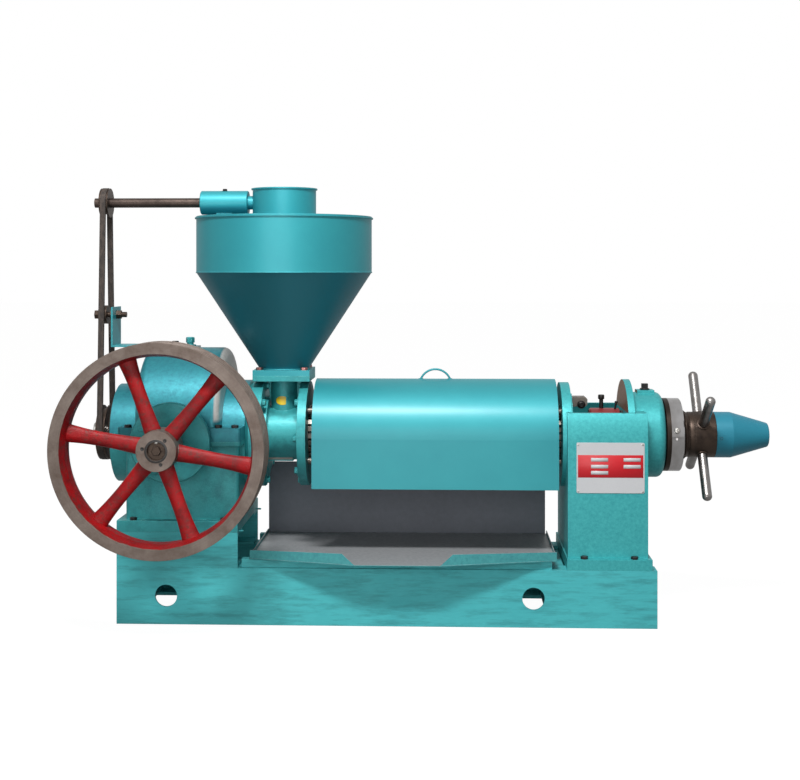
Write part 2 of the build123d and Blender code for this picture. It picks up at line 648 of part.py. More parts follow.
wheel_bearing_faces = (
    carrier_face_y - CARRIER_FLANGE_THICKNESS + BOX_WALL,
    -(BOX_HALF_WIDTH + SEAT) - WHEEL_BEARING_WIDTH,
)
wheel_bearings = []
for face_y in wheel_bearing_faces:
    with BuildPart() as wheel_bearing:
        with BuildSketch(Plane.XZ.offset(-face_y)):
            with Locations((WHEEL_X, AXIS_Z)):
                Circle(WHEEL_BEARING_RADIUS - FIT)
                Circle(WHEEL_SHAFT_RADIUS + FIT, mode=Mode.SUBTRACT)
        extrude(amount=-WHEEL_BEARING_WIDTH)
    wheel_bearings.append(wheel_bearing.part)
write_group(wheel_bearings, "wheel_bearings")

# Bevel gear pair: a pinion on the wheel's shaft drives the crown gear on the press axis
crown_shape = bevel_gear(CROWN_TEETH, PINION_TEETH, MODULE, CROWN_FACE, HUB_RADIUS,
                         CROWN_RIM_DEPTH, HUB_RADIUS + 30, CROWN_RIM_DEPTH, 0.0)
pinion_shape = bevel_gear(PINION_TEETH, CROWN_TEETH, MODULE, CROWN_FACE, WHEEL_SHAFT_RADIUS,
                          MODULE, WHEEL_SHAFT_RADIUS + 5, MODULE, 0.5)
crown_plane = Plane(origin=GEAR_APEX, x_dir=(0, -1, 0), z_dir=(-1, 0, 0))
pinion_plane = Plane(origin=GEAR_APEX, x_dir=(1, 0, 0), z_dir=(0, 1, 0))
crown_gear = crown_plane.location * crown_shape
crown_gear.label = "crown_gear"
export_step(crown_gear, "parts/crown_gear.step")
bevel_pinion = pinion_plane.location * pinion_shape
bevel_pinion.label = "bevel_pinion"
export_step(bevel_pinion, "parts/bevel_pinion.step")

with BuildPart() as hub_sleeve:
    with BuildSketch(Plane.YZ.offset(LEFT_BOSS_END)):
        with Locations((0, AXIS_Z)):
            Circle(HUB_RADIUS)
    extrude(amount=NECK_RING_RIGHT - BOX_WALL - 1 - LEFT_BOSS_END)
    with BuildSketch(Plane.YZ.offset(LEFT_BOSS_END)):
        with Locations((0, AXIS_Z)):
            Circle(STUB_RADIUS)
    extrude(amount=STUB_END - LEFT_BOSS_END)
    with BuildSketch(Plane.YZ.offset(SHAFT_LEFT - 30)):
        with Locations((0, AXIS_Z)):
            Circle(HUB_BORE)
    extrude(amount=NECK_RING_RIGHT - SHAFT_LEFT + 30, mode=Mode.SUBTRACT)
write_node(hub_sleeve, "hub_sleeve")

main_bearings = []
for left in (LEFT_BOSS_END + 6, NECK_RING_RIGHT - BOX_WALL - MAIN_BEARING_WIDTH - 1):
    with BuildPart() as main_bearing:
        with BuildSketch(Plane.YZ.offset(left)):
            with Locations((0, AXIS_Z)):
                Circle(MAIN_BEARING_RADIUS)
                Circle(HUB_RADIUS + FIT, mode=Mode.SUBTRACT)
        extrude(amount=MAIN_BEARING_WIDTH)
    main_bearings.append(main_bearing.part)
write_group(main_bearings, "main_bearings")

with BuildPart() as end_cap:
    with BuildSketch(Plane.YZ.offset(LEFT_BOSS_END)):
        with Locations((0, AXIS_Z)):
            Circle(MAIN_BEARING_RADIUS + 32)
            Circle(STUB_RADIUS + 1, mode=Mode.SUBTRACT)
    extrude(amount=-14)
    fillet(end_cap.faces().sort_by(Axis.X)[0].edges().sort_by(SortBy.LENGTH)[-1], 4)
write_node(end_cap, "bearing_end_cap")

# Drive wheel with V-belt grooves, rounded spokes and a hub
wheel_middle_y = WHEEL_FACE_Y + WHEEL_WIDTH / 2
wheel_centre = Vector(WHEEL_X, 0, AXIS_Z)
hub_front_y = WHEEL_FACE_Y + WHEEL_HUB_SETBACK
groove_step = WHEEL_WIDTH / GROOVES
with BuildPart() as wheel:
    with BuildSketch(Plane.XY.offset(AXIS_Z)):
        with BuildLine():
            rim_points = [(WHEEL_INNER_RADIUS, WHEEL_FACE_Y), (WHEEL_RADIUS, WHEEL_FACE_Y)]
            for groove in range(GROOVES):
                centre = WHEEL_FACE_Y + (groove + 0.5) * groove_step
                rim_points += [
                    (WHEEL_RADIUS, centre - GROOVE_WIDTH / 2),
                    (WHEEL_RADIUS - GROOVE_DEPTH, centre - GROOVE_WIDTH / 4),
                    (WHEEL_RADIUS - GROOVE_DEPTH, centre + GROOVE_WIDTH / 4),
                    (WHEEL_RADIUS, centre + GROOVE_WIDTH / 2),
                ]
            rim_points += [
                (WHEEL_RADIUS, WHEEL_FACE_Y + WHEEL_WIDTH),
                (WHEEL_INNER_RADIUS, WHEEL_FACE_Y + WHEEL_WIDTH),
                (WHEEL_INNER_RADIUS - 8, wheel_middle_y + 16),
                (WHEEL_INNER_RADIUS - 8, wheel_middle_y - 16),
            ]
            Polyline([(WHEEL_X + r, y) for r, y in rim_points], close=True)
        make_face()
        with Locations((WHEEL_X + (WHEEL_SHAFT_RADIUS + WHEEL_HUB_RADIUS) / 2,
                        hub_front_y + WHEEL_HUB_LENGTH / 2)):
            Rectangle(WHEEL_HUB_RADIUS - WHEEL_SHAFT_RADIUS, WHEEL_HUB_LENGTH)
    revolve(axis=Axis((WHEEL_X, 0, AXIS_Z), (0, 1, 0)))
    for spoke in range(SPOKES):
        angle = radians(SPOKE_ANGLE + 360 * spoke / SPOKES)
        along = Vector(cos(angle), 0, sin(angle))
        sections = (
            (WHEEL_HUB_RADIUS - 4, 1.12), (WHEEL_HUB_RADIUS + 40, 1.0),
            (WHEEL_INNER_RADIUS - 50, 1.0), (WHEEL_INNER_RADIUS - 4, 1.22),
        )
        for radius, swell in sections:
            section_origin = wheel_centre + along * radius + Vector(0, wheel_middle_y, 0)
            with BuildSketch(Plane(origin=section_origin, x_dir=(0, 1, 0), z_dir=along)):
                Ellipse(SPOKE_DEPTH / 2 * swell, SPOKE_WIDTH / 2 * swell)
        loft()
write_node(wheel, "drive_wheel")

with BuildPart() as wheel_shaft:
    with BuildSketch(Plane.XZ.offset(-(hub_front_y + 12))):
        with Locations((WHEEL_X, AXIS_Z)):
            Circle(WHEEL_SHAFT_RADIUS)
    extrude(amount=hub_front_y + 12 + CROWN_RADIUS - CROWN_FACE - 4)
write_node(wheel_shaft, "wheel_shaft")

with BuildPart() as wheel_nut:
    with BuildSketch(Plane.XZ.offset(-(hub_front_y + 12))):
        with Locations((WHEEL_X, AXIS_Z)):
            Circle(22)
    extrude(amount=3)
    with BuildSketch(Plane.XZ.offset(-(hub_front_y + 9))):
        with Locations((WHEEL_X, AXIS_Z)):
            RegularPolygon(13, 6)
    extrude(amount=9)
    chamfer(wheel_nut.faces().sort_by(Axis.Y)[0].edges(), 1.5)
write_node(wheel_nut, "wheel_retaining_bolt")

# Neck ring between gearbox and feed housing
with BuildPart() as neck_ring:
    with BuildSketch(Plane.YZ.offset(NECK_RING_LEFT)):
        with Locations((0, AXIS_Z)):
            Circle(NECK_RING_RADIUS)
    extrude(amount=NECK_RING_RIGHT - NECK_RING_LEFT)
    chamfer(neck_ring.faces().sort_by(Axis.X)[0].edges(), 10)
    with BuildSketch(Plane.YZ.offset(NECK_RING_LEFT)):
        with Locations((0, AXIS_Z)):
            Circle(MAIN_BEARING_RADIUS + SEAT)
    extrude(amount=NECK_RING_RIGHT - BOX_WALL - NECK_RING_LEFT, mode=Mode.SUBTRACT)
    with BuildSketch(Plane.YZ.offset(NECK_RING_LEFT)):
        with Locations((0, AXIS_Z)):
            Circle(HUB_BORE + 1)
    extrude(amount=NECK_RING_RIGHT - NECK_RING_LEFT, mode=Mode.SUBTRACT)
write_node(neck_ring, "neck_ring")

# Feed housing: a barrel round the first worm, an inlet neck and a square flange
with BuildPart() as feed_housing:
    with BuildSketch(Plane.YZ.offset(NECK_RING_RIGHT)):
        with Locations((0, AXIS_Z)):
            Circle(FEED_RADIUS)
    extrude(amount=FEED_RIGHT - NECK_RING_RIGHT)
    with BuildSketch(Plane.YZ.offset(NECK_RING_RIGHT)):
        with Locations((0, AXIS_Z)):
            Circle(FEED_RADIUS + 30)
    extrude(amount=FEED_FLANGE)
    with BuildSketch(Plane.XY.offset(AXIS_Z)):
        with Locations((INLET_X, 0)):
            Circle(INLET_RADIUS)
    extrude(amount=PLATE_TOP_Z - PLATE_THICKNESS - AXIS_Z)
    with BuildSketch(Plane.XY.offset(PLATE_TOP_Z - 2 * PLATE_THICKNESS)):
        with Locations((INLET_X, 0)):
            Rectangle(PLATE_SIZE, PLATE_SIZE)
    extrude(amount=PLATE_THICKNESS)
    for side in (-1, 1):
        with BuildSketch(Plane.XZ.offset(-RIB_THICKNESS / 2)):
            with BuildLine():
                rib_top = PLATE_TOP_Z - 2 * PLATE_THICKNESS
                rib_in = INLET_X + side * (INLET_RADIUS - 2)
                Polyline(
                    (rib_in, rib_top), (INLET_X + side * PLATE_SIZE * 0.3, rib_top),
                    (rib_in, AXIS_Z + FEED_RADIUS - 2), close=True,
                )
            make_face()
        extrude(amount=RIB_THICKNESS)
    with BuildSketch(Plane.XY.offset(AXIS_Z - FEED_RADIUS)):
        with Locations((INLET_X - 8, 0)):
            Rectangle(DRAIN_PAD, DRAIN_PAD)
    extrude(amount=FEED_RADIUS / 2)
    with BuildSketch(Plane.YZ.offset(NECK_RING_RIGHT)):
        with Locations((0, AXIS_Z)):
            Circle(CHAMBER_RADIUS)
    extrude(amount=FEED_RIGHT - NECK_RING_RIGHT, mode=Mode.SUBTRACT)
    with BuildSketch(Plane.XY.offset(AXIS_Z)):
        with Locations((INLET_X, 0)):
            Circle(INLET_BORE)
    extrude(amount=PLATE_TOP_Z - AXIS_Z, mode=Mode.SUBTRACT)
    with BuildSketch(Plane.XY.offset(PLATE_TOP_Z - PLATE_THICKNESS)):
        with Locations(*plate_bolts):
            Circle(SMALL_BOLT + BOLT_PLAY)
    extrude(amount=-PLATE_THICKNESS, mode=Mode.SUBTRACT)
write_node(feed_housing, "feed_housing")

# Hopper: a rolled sheet band on a cone, with a square flange at the bottom
with BuildPart() as hopper:
    with BuildSketch(Plane.XZ):
        with BuildLine():
            Polyline(
                (INLET_X + HOPPER_NECK_RADIUS, PLATE_TOP_Z), (INLET_X + HOPPER_RADIUS, HOPPER_BAND_Z),
                (INLET_X + HOPPER_RADIUS, HOPPER_TOP_Z - RIM_REACH),
                (INLET_X + HOPPER_RADIUS + RIM_REACH, HOPPER_TOP_Z - RIM_REACH),
                (INLET_X + HOPPER_RADIUS + RIM_REACH, HOPPER_TOP_Z),
                (INLET_X + HOPPER_RADIUS - SHEET, HOPPER_TOP_Z),
                (INLET_X + HOPPER_RADIUS - SHEET, HOPPER_BAND_Z),
                (INLET_X + HOPPER_NECK_RADIUS - SHEET - 1, PLATE_TOP_Z), close=True,
            )
        make_face()
    revolve(axis=Axis((INLET_X, 0, 0), (0, 0, 1)))
    with BuildSketch(Plane.XY.offset(PLATE_TOP_Z - PLATE_THICKNESS)):
        with Locations((INLET_X, 0)):
            Rectangle(PLATE_SIZE, PLATE_SIZE)
            Circle(INLET_BORE, mode=Mode.SUBTRACT)
        with Locations(*plate_bolts):
            Circle(SMALL_BOLT + BOLT_PLAY, mode=Mode.SUBTRACT)
    extrude(amount=PLATE_THICKNESS)
write_node(hopper, "hopper")

plate_planes = [Plane((x, y, PLATE_TOP_Z)) for x, y in plate_bolts]
write_group(bolts_at(plate_planes, SMALL_BOLT, 2 * PLATE_THICKNESS), "hopper_bolts")

with BuildPart() as lid:
    with BuildSketch(Plane.XY.offset(HOPPER_TOP_Z)):
        with Locations((INLET_X, 0)):
            Circle(HOPPER_RADIUS)
            Circle(THROAT_HOLE, mode=Mode.SUBTRACT)
    extrude(amount=SHEET)
write_node(lid, "hopper_lid")

with BuildPart() as collar:
    with BuildSketch(Plane.XZ):
        with BuildLine():
            Polyline(
                (INLET_X + COLLAR_RADIUS - SHEET, LID_TOP), (INLET_X + COLLAR_RADIUS, LID_TOP),
                (INLET_X + COLLAR_RADIUS, COLLAR_TOP_Z - COLLAR_RIM),
                (INLET_X + COLLAR_RADIUS + COLLAR_RIM, COLLAR_TOP_Z - COLLAR_RIM),
                (INLET_X + COLLAR_RADIUS + COLLAR_RIM, COLLAR_TOP_Z),
                (INLET_X + COLLAR_RADIUS - SHEET, COLLAR_TOP_Z), close=True,
            )
        make_face()
    revolve(axis=Axis((INLET_X, 0, 0), (0, 0, 1)))
    with BuildSketch(Plane.YZ.offset(SLEEVE_RIGHT)):
        with Locations((0, TOP_SHAFT_Z)):
            Circle(SLEEVE_NOSE_RADIUS + SEAT)
    extrude(amount=INLET_X - SLEEVE_RIGHT, mode=Mode.SUBTRACT)
write_node(collar, "filling_collar")

# Feeder: a sleeve on the lid carries the top shaft, a bar across the throat carries the auger
with BuildPart() as sleeve:
    with BuildSketch(Plane.YZ.offset(SLEEVE_LEFT)):
        with Locations((0, TOP_SHAFT_Z)):
            Circle(SLEEVE_RADIUS)
    extrude(amount=SLEEVE_RIGHT - SLEEVE_LEFT)
    chamfer(sleeve.edges().filter_by(GeomType.CIRCLE), 2)
    with BuildSketch(Plane.YZ.offset(SLEEVE_RIGHT)):
        with Locations((0, TOP_SHAFT_Z)):
            Circle(SLEEVE_NOSE_RADIUS)
    extrude(amount=INLET_X - COLLAR_RADIUS + 3 * SHEET - SLEEVE_RIGHT)
    with BuildSketch(Plane.XY.offset(LID_TOP)):
        with Locations(((SLEEVE_LEFT + SLEEVE_RIGHT) / 2, 0)):
            Rectangle(SLEEVE_SADDLE, SLEEVE_RADIUS)
    extrude(amount=TOP_SHAFT_Z - LID_TOP)
    with BuildSketch(Plane.YZ.offset(SLEEVE_LEFT)):
        with Locations((0, TOP_SHAFT_Z)):
            Circle(TOP_SHAFT_RADIUS + FIT)
    extrude(amount=INLET_X - SLEEVE_LEFT, mode=Mode.SUBTRACT)
write_node(sleeve, "top_shaft_sleeve")

mitre_shape = bevel_gear(MITRE_TEETH, MITRE_TEETH, MITRE_MODULE, MITRE_FACE, TOP_SHAFT_RADIUS,
                         MITRE_MODULE, TOP_SHAFT_RADIUS + 4, MITRE_HUB, 0.0)
mitre_mate = bevel_gear(MITRE_TEETH, MITRE_TEETH, MITRE_MODULE, MITRE_FACE, AUGER_SHAFT_RADIUS,
                        MITRE_MODULE, AUGER_SHAFT_RADIUS + 6, MITRE_HUB, 0.5)
driver_plane = Plane(origin=MITRE_APEX, x_dir=(0, 0, -1), z_dir=(1, 0, 0))
driven_plane = Plane(origin=MITRE_APEX, x_dir=(-1, 0, 0), z_dir=(0, 0, 1))
mitre_driver = driver_plane.location * mitre_shape
mitre_driver.label = "mitre_driver"
export_step(mitre_driver, "parts/mitre_driver.step")
mitre_driven = driven_plane.location * mitre_mate
mitre_driven.label = "mitre_driven"
export_step(mitre_driven, "parts/mitre_driven.step")

mitre_inner = MITRE_RADIUS - MITRE_FACE
with BuildPart() as top_shaft:
    with BuildSketch(Plane.YZ.offset(TOP_SHAFT_LEFT)):
        with Locations((0, TOP_SHAFT_Z)):
            Circle(TOP_SHAFT_RADIUS)
    extrude(amount=INLET_X - mitre_inner - TOP_SHAFT_LEFT)
write_node(top_shaft, "top_shaft")

hanger_top = LID_TOP + HANGER_THICKNESS
with BuildPart() as hanger:
    with BuildSketch(Plane.XY.offset(LID_TOP)):
        with Locations((INLET_X, 0)):
            Rectangle(HANGER_WIDTH, 2 * (COLLAR_RADIUS - SHEET - 2))
            Circle(HANGER_BOSS_RADIUS)
            Circle(AUGER_SHAFT_RADIUS + FIT, mode=Mode.SUBTRACT)
    extrude(amount=HANGER_THICKNESS)
    with BuildSketch(Plane.XY.offset(LID_TOP)):
        with Locations((INLET_X, 0)):
            Circle(HANGER_BOSS_RADIUS)
            Circle(AUGER_SHAFT_RADIUS + FIT, mode=Mode.SUBTRACT)
    extrude(amount=-2 * HANGER_THICKNESS)
write_node(hanger, "auger_hanger")

auger_flight = screw_flight(AUGER_SHAFT_RADIUS - 1, AUGER_RADIUS, AUGER_PITCH,
                            AUGER_PITCH * AUGER_TURNS, SHEET + 1)
with BuildPart() as auger:
    with BuildSketch(Plane.XY.offset(AUGER_BOTTOM_Z)):
        with Locations((INLET_X, 0)):
            Circle(AUGER_SHAFT_RADIUS)
    extrude(amount=TOP_SHAFT_Z - mitre_inner - AUGER_BOTTOM_Z)
    with Locations((INLET_X, 0, AUGER_BOTTOM_Z + 3)):
        add(auger_flight.part)
write_node(auger, "feed_auger")

# Press cage: end ring, lining bars, clamp rings and tie rods
with BuildPart() as cage_ring:
    with BuildSketch(Plane.YZ.offset(FEED_RIGHT)):
        with Locations((0, AXIS_Z)):
            Circle(CAGE_RING_RADIUS)
            Circle(CHAMBER_RADIUS, mode=Mode.SUBTRACT)
    extrude(amount=CAGE_LEFT - FEED_RIGHT)
write_node(cage_ring, "cage_end_ring")

bar_corner = sqrt((CHAMBER_RADIUS + BAR_DEPTH) ** 2 + (BAR_WIDTH / 2) ** 2)
with BuildPart() as bars:
    with BuildSketch(Plane.YZ.offset(CAGE_LEFT)):
        with Locations((0, AXIS_Z)):
            with PolarLocations(CHAMBER_RADIUS + BAR_DEPTH / 2, CAGE_BARS):
                Rectangle(BAR_DEPTH, BAR_WIDTH)
    extrude(amount=CAGE_RIGHT - CAGE_LEFT)
write_node(bars, "cage_bars")

ring_pitch = (CAGE_RIGHT - CAGE_LEFT) / CLAMP_RINGS
clamp_rings = []
for number in range(CLAMP_RINGS):
    ring_left = CAGE_LEFT + (number + 0.5) * ring_pitch - CLAMP_RING_WIDTH / 2
    with BuildPart() as clamp_ring:
        with BuildSketch(Plane.YZ.offset(ring_left)):
            with Locations((0, AXIS_Z)):
                Circle(CLAMP_RING_RADIUS)
                Circle(bar_corner + SEAT, mode=Mode.SUBTRACT)
                with PolarLocations(TIE_CIRCLE, 4, start_angle=45):
                    Circle(TIE_RADIUS + SEAT, mode=Mode.SUBTRACT)
        extrude(amount=CLAMP_RING_WIDTH)
    clamp_rings.append(clamp_ring.part)
write_group(clamp_rings, "clamp_rings")

with BuildPart() as tie_rods:
    with BuildSketch(Plane.YZ.offset(CAGE_LEFT)):
        with Locations((0, AXIS_Z)):
            with PolarLocations(TIE_CIRCLE, 4, start_angle=45):
                Circle(TIE_RADIUS)
    extrude(amount=CAGE_RIGHT - CAGE_LEFT)
write_node(tie_rods, "tie_rods")

# Press shaft with worm sections whose cores grow towards the outlet
worm_end = WORM_START + WORM_SECTIONS * WORM_SECTION_LENGTH
thrust_collar_left = CUP_LEFT - THRUST_COLLAR_LENGTH
with BuildPart() as press_shaft:
    with BuildSketch(Plane.YZ.offset(SHAFT_LEFT)):
        with Locations((0, AXIS_Z)):
            Circle(HUB_BORE - FIT)
    extrude(amount=SHAFT_RIGHT - SHAFT_LEFT)
    with BuildSketch(Plane.YZ.offset(thrust_collar_left)):
        with Locations((0, AXIS_Z)):
            Circle(THRUST_COLLAR_RADIUS)
    extrude(amount=THRUST_COLLAR_LENGTH)
    chamfer(press_shaft.faces().sort_by(Axis.X)[-1].edges(), 3)
write_node(press_shaft, "press_shaft")

worm_sections = []
for number in range(WORM_SECTIONS):
    section_left = WORM_START + number * WORM_SECTION_LENGTH
    core = WORM_FIRST_CORE + number * WORM_CORE_STEP
    flight_turn = screw_flight(core - 1, WORM_RADIUS - 0.5, WORM_PITCH, WORM_PITCH, FLIGHT_THICKNESS)
    with BuildPart() as worm:
        with BuildSketch(Plane.YZ.offset(section_left)):
            with Locations((0, AXIS_Z)):
                Circle(core)
                Circle(HUB_BORE, mode=Mode.SUBTRACT)
        extrude(amount=WORM_SECTION_LENGTH)
        flight_left = section_left + (WORM_SECTION_LENGTH - WORM_PITCH) / 2
        with Locations(Plane(origin=(flight_left, 0, AXIS_Z), x_dir=(0, 1, 0), z_dir=(1, 0, 0))):
            add(flight_turn.part)
    worm_sections.append(worm.part)
write_group(worm_sections, "worm_sections")

with BuildPart() as choke:
    with BuildSketch(Plane.XZ):
        with BuildLine():
            Polyline(
                (worm_end, AXIS_Z + HUB_BORE), (worm_end, AXIS_Z + WORM_FIRST_CORE + 12),
                (worm_end + CHOKE_LENGTH, AXIS_Z + CHAMBER_RADIUS - 6),
                (thrust_collar_left, AXIS_Z + CHAMBER_RADIUS - 14),
                (thrust_collar_left, AXIS_Z + HUB_BORE), close=True,
            )
        make_face()
    revolve(axis=Axis((0, 0, AXIS_Z), (1, 0, 0)))
write_node(choke, "choke_cone")

# Feeder belt: two grooved pulleys, the belt, and an idler on a bracket
def grooved_pulley(pitch_radius, axis_z, bore):
    """A pulley at the belt's plane whose groove leaves room round the belt."""
    belt_inner = pitch_radius - BELT_THICKNESS / 2
    with BuildPart() as pulley:
        with BuildSketch(Plane.YZ.offset(BELT_X - PULLEY_WIDTH / 2)):
            with Locations((0, axis_z)):
                Circle(pitch_radius + PULLEY_LIP)
                Circle(bore, mode=Mode.SUBTRACT)
        extrude(amount=PULLEY_WIDTH)
        with BuildSketch(Plane.YZ.offset(BELT_X - BELT_WIDTH / 2 - SEAT)):
            with Locations((0, axis_z)):
                Circle(pitch_radius + 2 * PULLEY_LIP)
                Circle(belt_inner - SEAT, mode=Mode.SUBTRACT)
        extrude(amount=BELT_WIDTH + 2 * SEAT, mode=Mode.SUBTRACT)
    return pulley


drive_pulley = grooved_pulley(LOWER_PULLEY_RADIUS, AXIS_Z, STUB_RADIUS)
write_node(drive_pulley, "feeder_drive_pulley")
driven_pulley = grooved_pulley(UPPER_PULLEY_RADIUS, TOP_SHAFT_Z, TOP_SHAFT_RADIUS)
write_node(driven_pulley, "feeder_driven_pulley")

with BuildPart() as belt:
    for offset, mode in ((BELT_THICKNESS / 2, Mode.ADD), (-BELT_THICKNESS / 2, Mode.SUBTRACT)):
        with BuildSketch(Plane.YZ.offset(BELT_X - BELT_WIDTH / 2)):
            with Locations((0, AXIS_Z)):
                Circle(LOWER_PULLEY_RADIUS + offset)
            with Locations((0, TOP_SHAFT_Z)):
                Circle(UPPER_PULLEY_RADIUS + offset)
            make_hull()
        extrude(amount=BELT_WIDTH, mode=mode)
write_node(belt, "feeder_belt")

# The idler bears on the inner side of the front strand, which is a line tangent to both pulleys
strand_tilt = (LOWER_PULLEY_RADIUS - UPPER_PULLEY_RADIUS) / (TOP_SHAFT_Z - AXIS_Z)
strand_lean = sqrt(1 - strand_tilt * strand_tilt)
strand_inner = LOWER_PULLEY_RADIUS - BELT_THICKNESS / 2 - IDLER_RADIUS - SEAT
IDLER_Y = -(strand_inner - (IDLER_Z - AXIS_Z) * strand_tilt) / strand_lean
with BuildPart() as idler:
    with BuildSketch(Plane.YZ.offset(BELT_X - IDLER_WIDTH / 2)):
        with Locations((IDLER_Y, IDLER_Z)):
            Circle(IDLER_RADIUS)
            Circle(IDLER_BOLT_RADIUS + FIT, mode=Mode.SUBTRACT)
    extrude(amount=IDLER_WIDTH)
write_node(idler, "idler_roller")

bracket_left = BRACKET_X - BRACKET_THICKNESS / 2
nut_width = 1.7 * IDLER_BOLT_RADIUS
idler_left = BELT_X - IDLER_WIDTH / 2
with BuildPart() as idler_bolt:
    with BuildSketch(Plane.YZ.offset(idler_left - 1)):
        with Locations((IDLER_Y, IDLER_Z)):
            RegularPolygon(1.5 * IDLER_BOLT_RADIUS, 6, major_radius=False)
    extrude(amount=-nut_width)
    with BuildSketch(Plane.YZ.offset(idler_left - 1)):
        with Locations((IDLER_Y, IDLER_Z)):
            Circle(IDLER_BOLT_RADIUS)
    extrude(amount=bracket_left + 2 * nut_width + 8 - idler_left)
    for nut_left in (bracket_left - nut_width, bracket_left + BRACKET_THICKNESS):
        with BuildSketch(Plane.YZ.offset(nut_left)):
            with Locations((IDLER_Y, IDLER_Z)):
                RegularPolygon(1.5 * IDLER_BOLT_RADIUS, 6, major_radius=False)
        extrude(amount=nut_width)
write_node(idler_bolt, "idler_bolt")

bracket_bolts = [(BRACKET_FOOT_RIGHT - 22, side * PAD_WIDTH / 4) for side in (-1, 1)]
with BuildPart() as bracket:
    with BuildSketch(Plane.YZ.offset(bracket_left)):
        with Locations((BRACKET_CENTRE_Y, (COVER_TOP + BRACKET_TOP_Z) / 2)):
            Rectangle(BRACKET_WIDTH, BRACKET_TOP_Z - COVER_TOP)
        with Locations((IDLER_Y, IDLER_Z)):
            Circle(IDLER_BOLT_RADIUS + BOLT_PLAY, mode=Mode.SUBTRACT)
    extrude(amount=BRACKET_THICKNESS)
    with BuildSketch(Plane.XY.offset(COVER_TOP)):
        with Locations(((bracket_left + BRACKET_FOOT_RIGHT) / 2, BRACKET_CENTRE_Y)):
            Rectangle(BRACKET_FOOT_RIGHT - bracket_left, BRACKET_WIDTH)
    extrude(amount=BRACKET_THICKNESS)
write_node(bracket, "tensioner_bracket")

# Oil tray: a folded sheet with a pointed front, hanging lips and a spout
tray_outline = [
    (TRAY_LEFT, TRAY_BACK_Y), (TRAY_LEFT, TRAY_END_Y), (SPOUT_LEFT, TRAY_NOSE_Y),
    (SPOUT_RIGHT, TRAY_NOSE_Y), (TRAY_RIGHT, TRAY_END_Y), (TRAY_RIGHT, TRAY_BACK_Y),
]
with BuildPart() as tray:
    with BuildSketch(Plane.XY.offset(TRAY_FLOOR)):
        with BuildLine():
            Polyline(tray_outline, close=True)
        make_face()
    extrude(amount=SHEET)
    for start, end in ((tray_outline[1], tray_outline[2]), (tray_outline[3], tray_outline[4])):
        with BuildSketch(Plane.XY.offset(TRAY_FLOOR + SHEET)):
            with BuildLine():
                Polyline(start, end, (end[0], end[1] + SHEET), (start[0], start[1] + SHEET), close=True)
            make_face()
        extrude(amount=-TRAY_LIP)
    with BuildSketch(Plane.XY.offset(TRAY_FLOOR + SHEET)):
        with BuildLine():
            spout_front = TRAY_NOSE_Y - SPOUT_DROP
            Polyline(
                (SPOUT_LEFT, TRAY_NOSE_Y), (SPOUT_RIGHT, TRAY_NOSE_Y),
                (SPOUT_RIGHT - SPOUT_TAPER, spout_front), (SPOUT_LEFT + SPOUT_TAPER, spout_front),
                close=True,
            )
        make_face()
    extrude(amount=-SHEET)
    with BuildSketch(Plane.XZ.offset(-spout_front)):
        with Locations(((SPOUT_LEFT + SPOUT_RIGHT) / 2, TRAY_FLOOR + SHEET - SPOUT_DROP / 2)):
            Rectangle(SPOUT_RIGHT - SPOUT_LEFT - 2 * SPOUT_TAPER, SPOUT_DROP)
    extrude(amount=SHEET)
    for wall_left in (TRAY_LEFT, TRAY_RIGHT - SHEET):
        with BuildSketch(Plane.XY.offset(TRAY_FLOOR)):
            with Locations((wall_left + SHEET / 2, (TRAY_BACK_Y + TRAY_END_Y) / 2)):
                Rectangle(SHEET, TRAY_BACK_Y - TRAY_END_Y)
        extrude(amount=4 * SHEET)
write_node(tray, "oil_tray")

# Splash plate behind the cage, which carries the fixed half of the hood's hinge
def hinge_knuckles(first_half):
    """Left and right places of one half's knuckles, with running gaps between the halves."""
    places = []
    for middle in HINGES_X:
        quarter = HINGE_LENGTH / 4
        if first_half:
            places.append((middle - 2 * quarter, middle - quarter - SEAT))
            places.append((middle + quarter + SEAT, middle + 2 * quarter))
        else:
            places.append((middle - quarter, middle + quarter))
    return places


splash_top = HINGE_Z
with BuildPart() as splash:
    with BuildSketch(Plane.XZ.offset(-SPLASH_Y)):
        with BuildLine():
            Polyline(
                (TRAY_LEFT + SHEET, TRAY_FLOOR + SHEET), (SPLASH_RIGHT - 16, TRAY_FLOOR + SHEET),
                (SPLASH_RIGHT - 16, splash_top), (TRAY_LEFT + SHEET, splash_top), close=True,
            )
        make_face()
    extrude(amount=SHEET)
    for left, right in hinge_knuckles(True):
        with BuildSketch(Plane.YZ.offset(left)):
            with Locations((HINGE_Y, HINGE_Z)):
                Circle(HINGE_RADIUS)
            with Locations((HINGE_Y + HINGE_RADIUS - HINGE_LEAF / 2, HINGE_Z - 1.5 * HINGE_RADIUS)):
                Rectangle(HINGE_LEAF, 3 * HINGE_RADIUS)
            with Locations((HINGE_Y, HINGE_Z)):
                Circle(HINGE_PIN_RADIUS + FIT, mode=Mode.SUBTRACT)
        extrude(amount=right - left)
write_node(splash, "splash_plate")

pins = []
for middle in HINGES_X:
    with BuildPart() as hinge_pin:
        with BuildSketch(Plane.YZ.offset(middle - HINGE_LENGTH / 2 - 2)):
            with Locations((HINGE_Y, HINGE_Z)):
                Circle(HINGE_PIN_RADIUS)
        extrude(amount=HINGE_LENGTH + 4)
    pins.append(hinge_pin.part)
write_group(pins, "hood_hinge_pins")

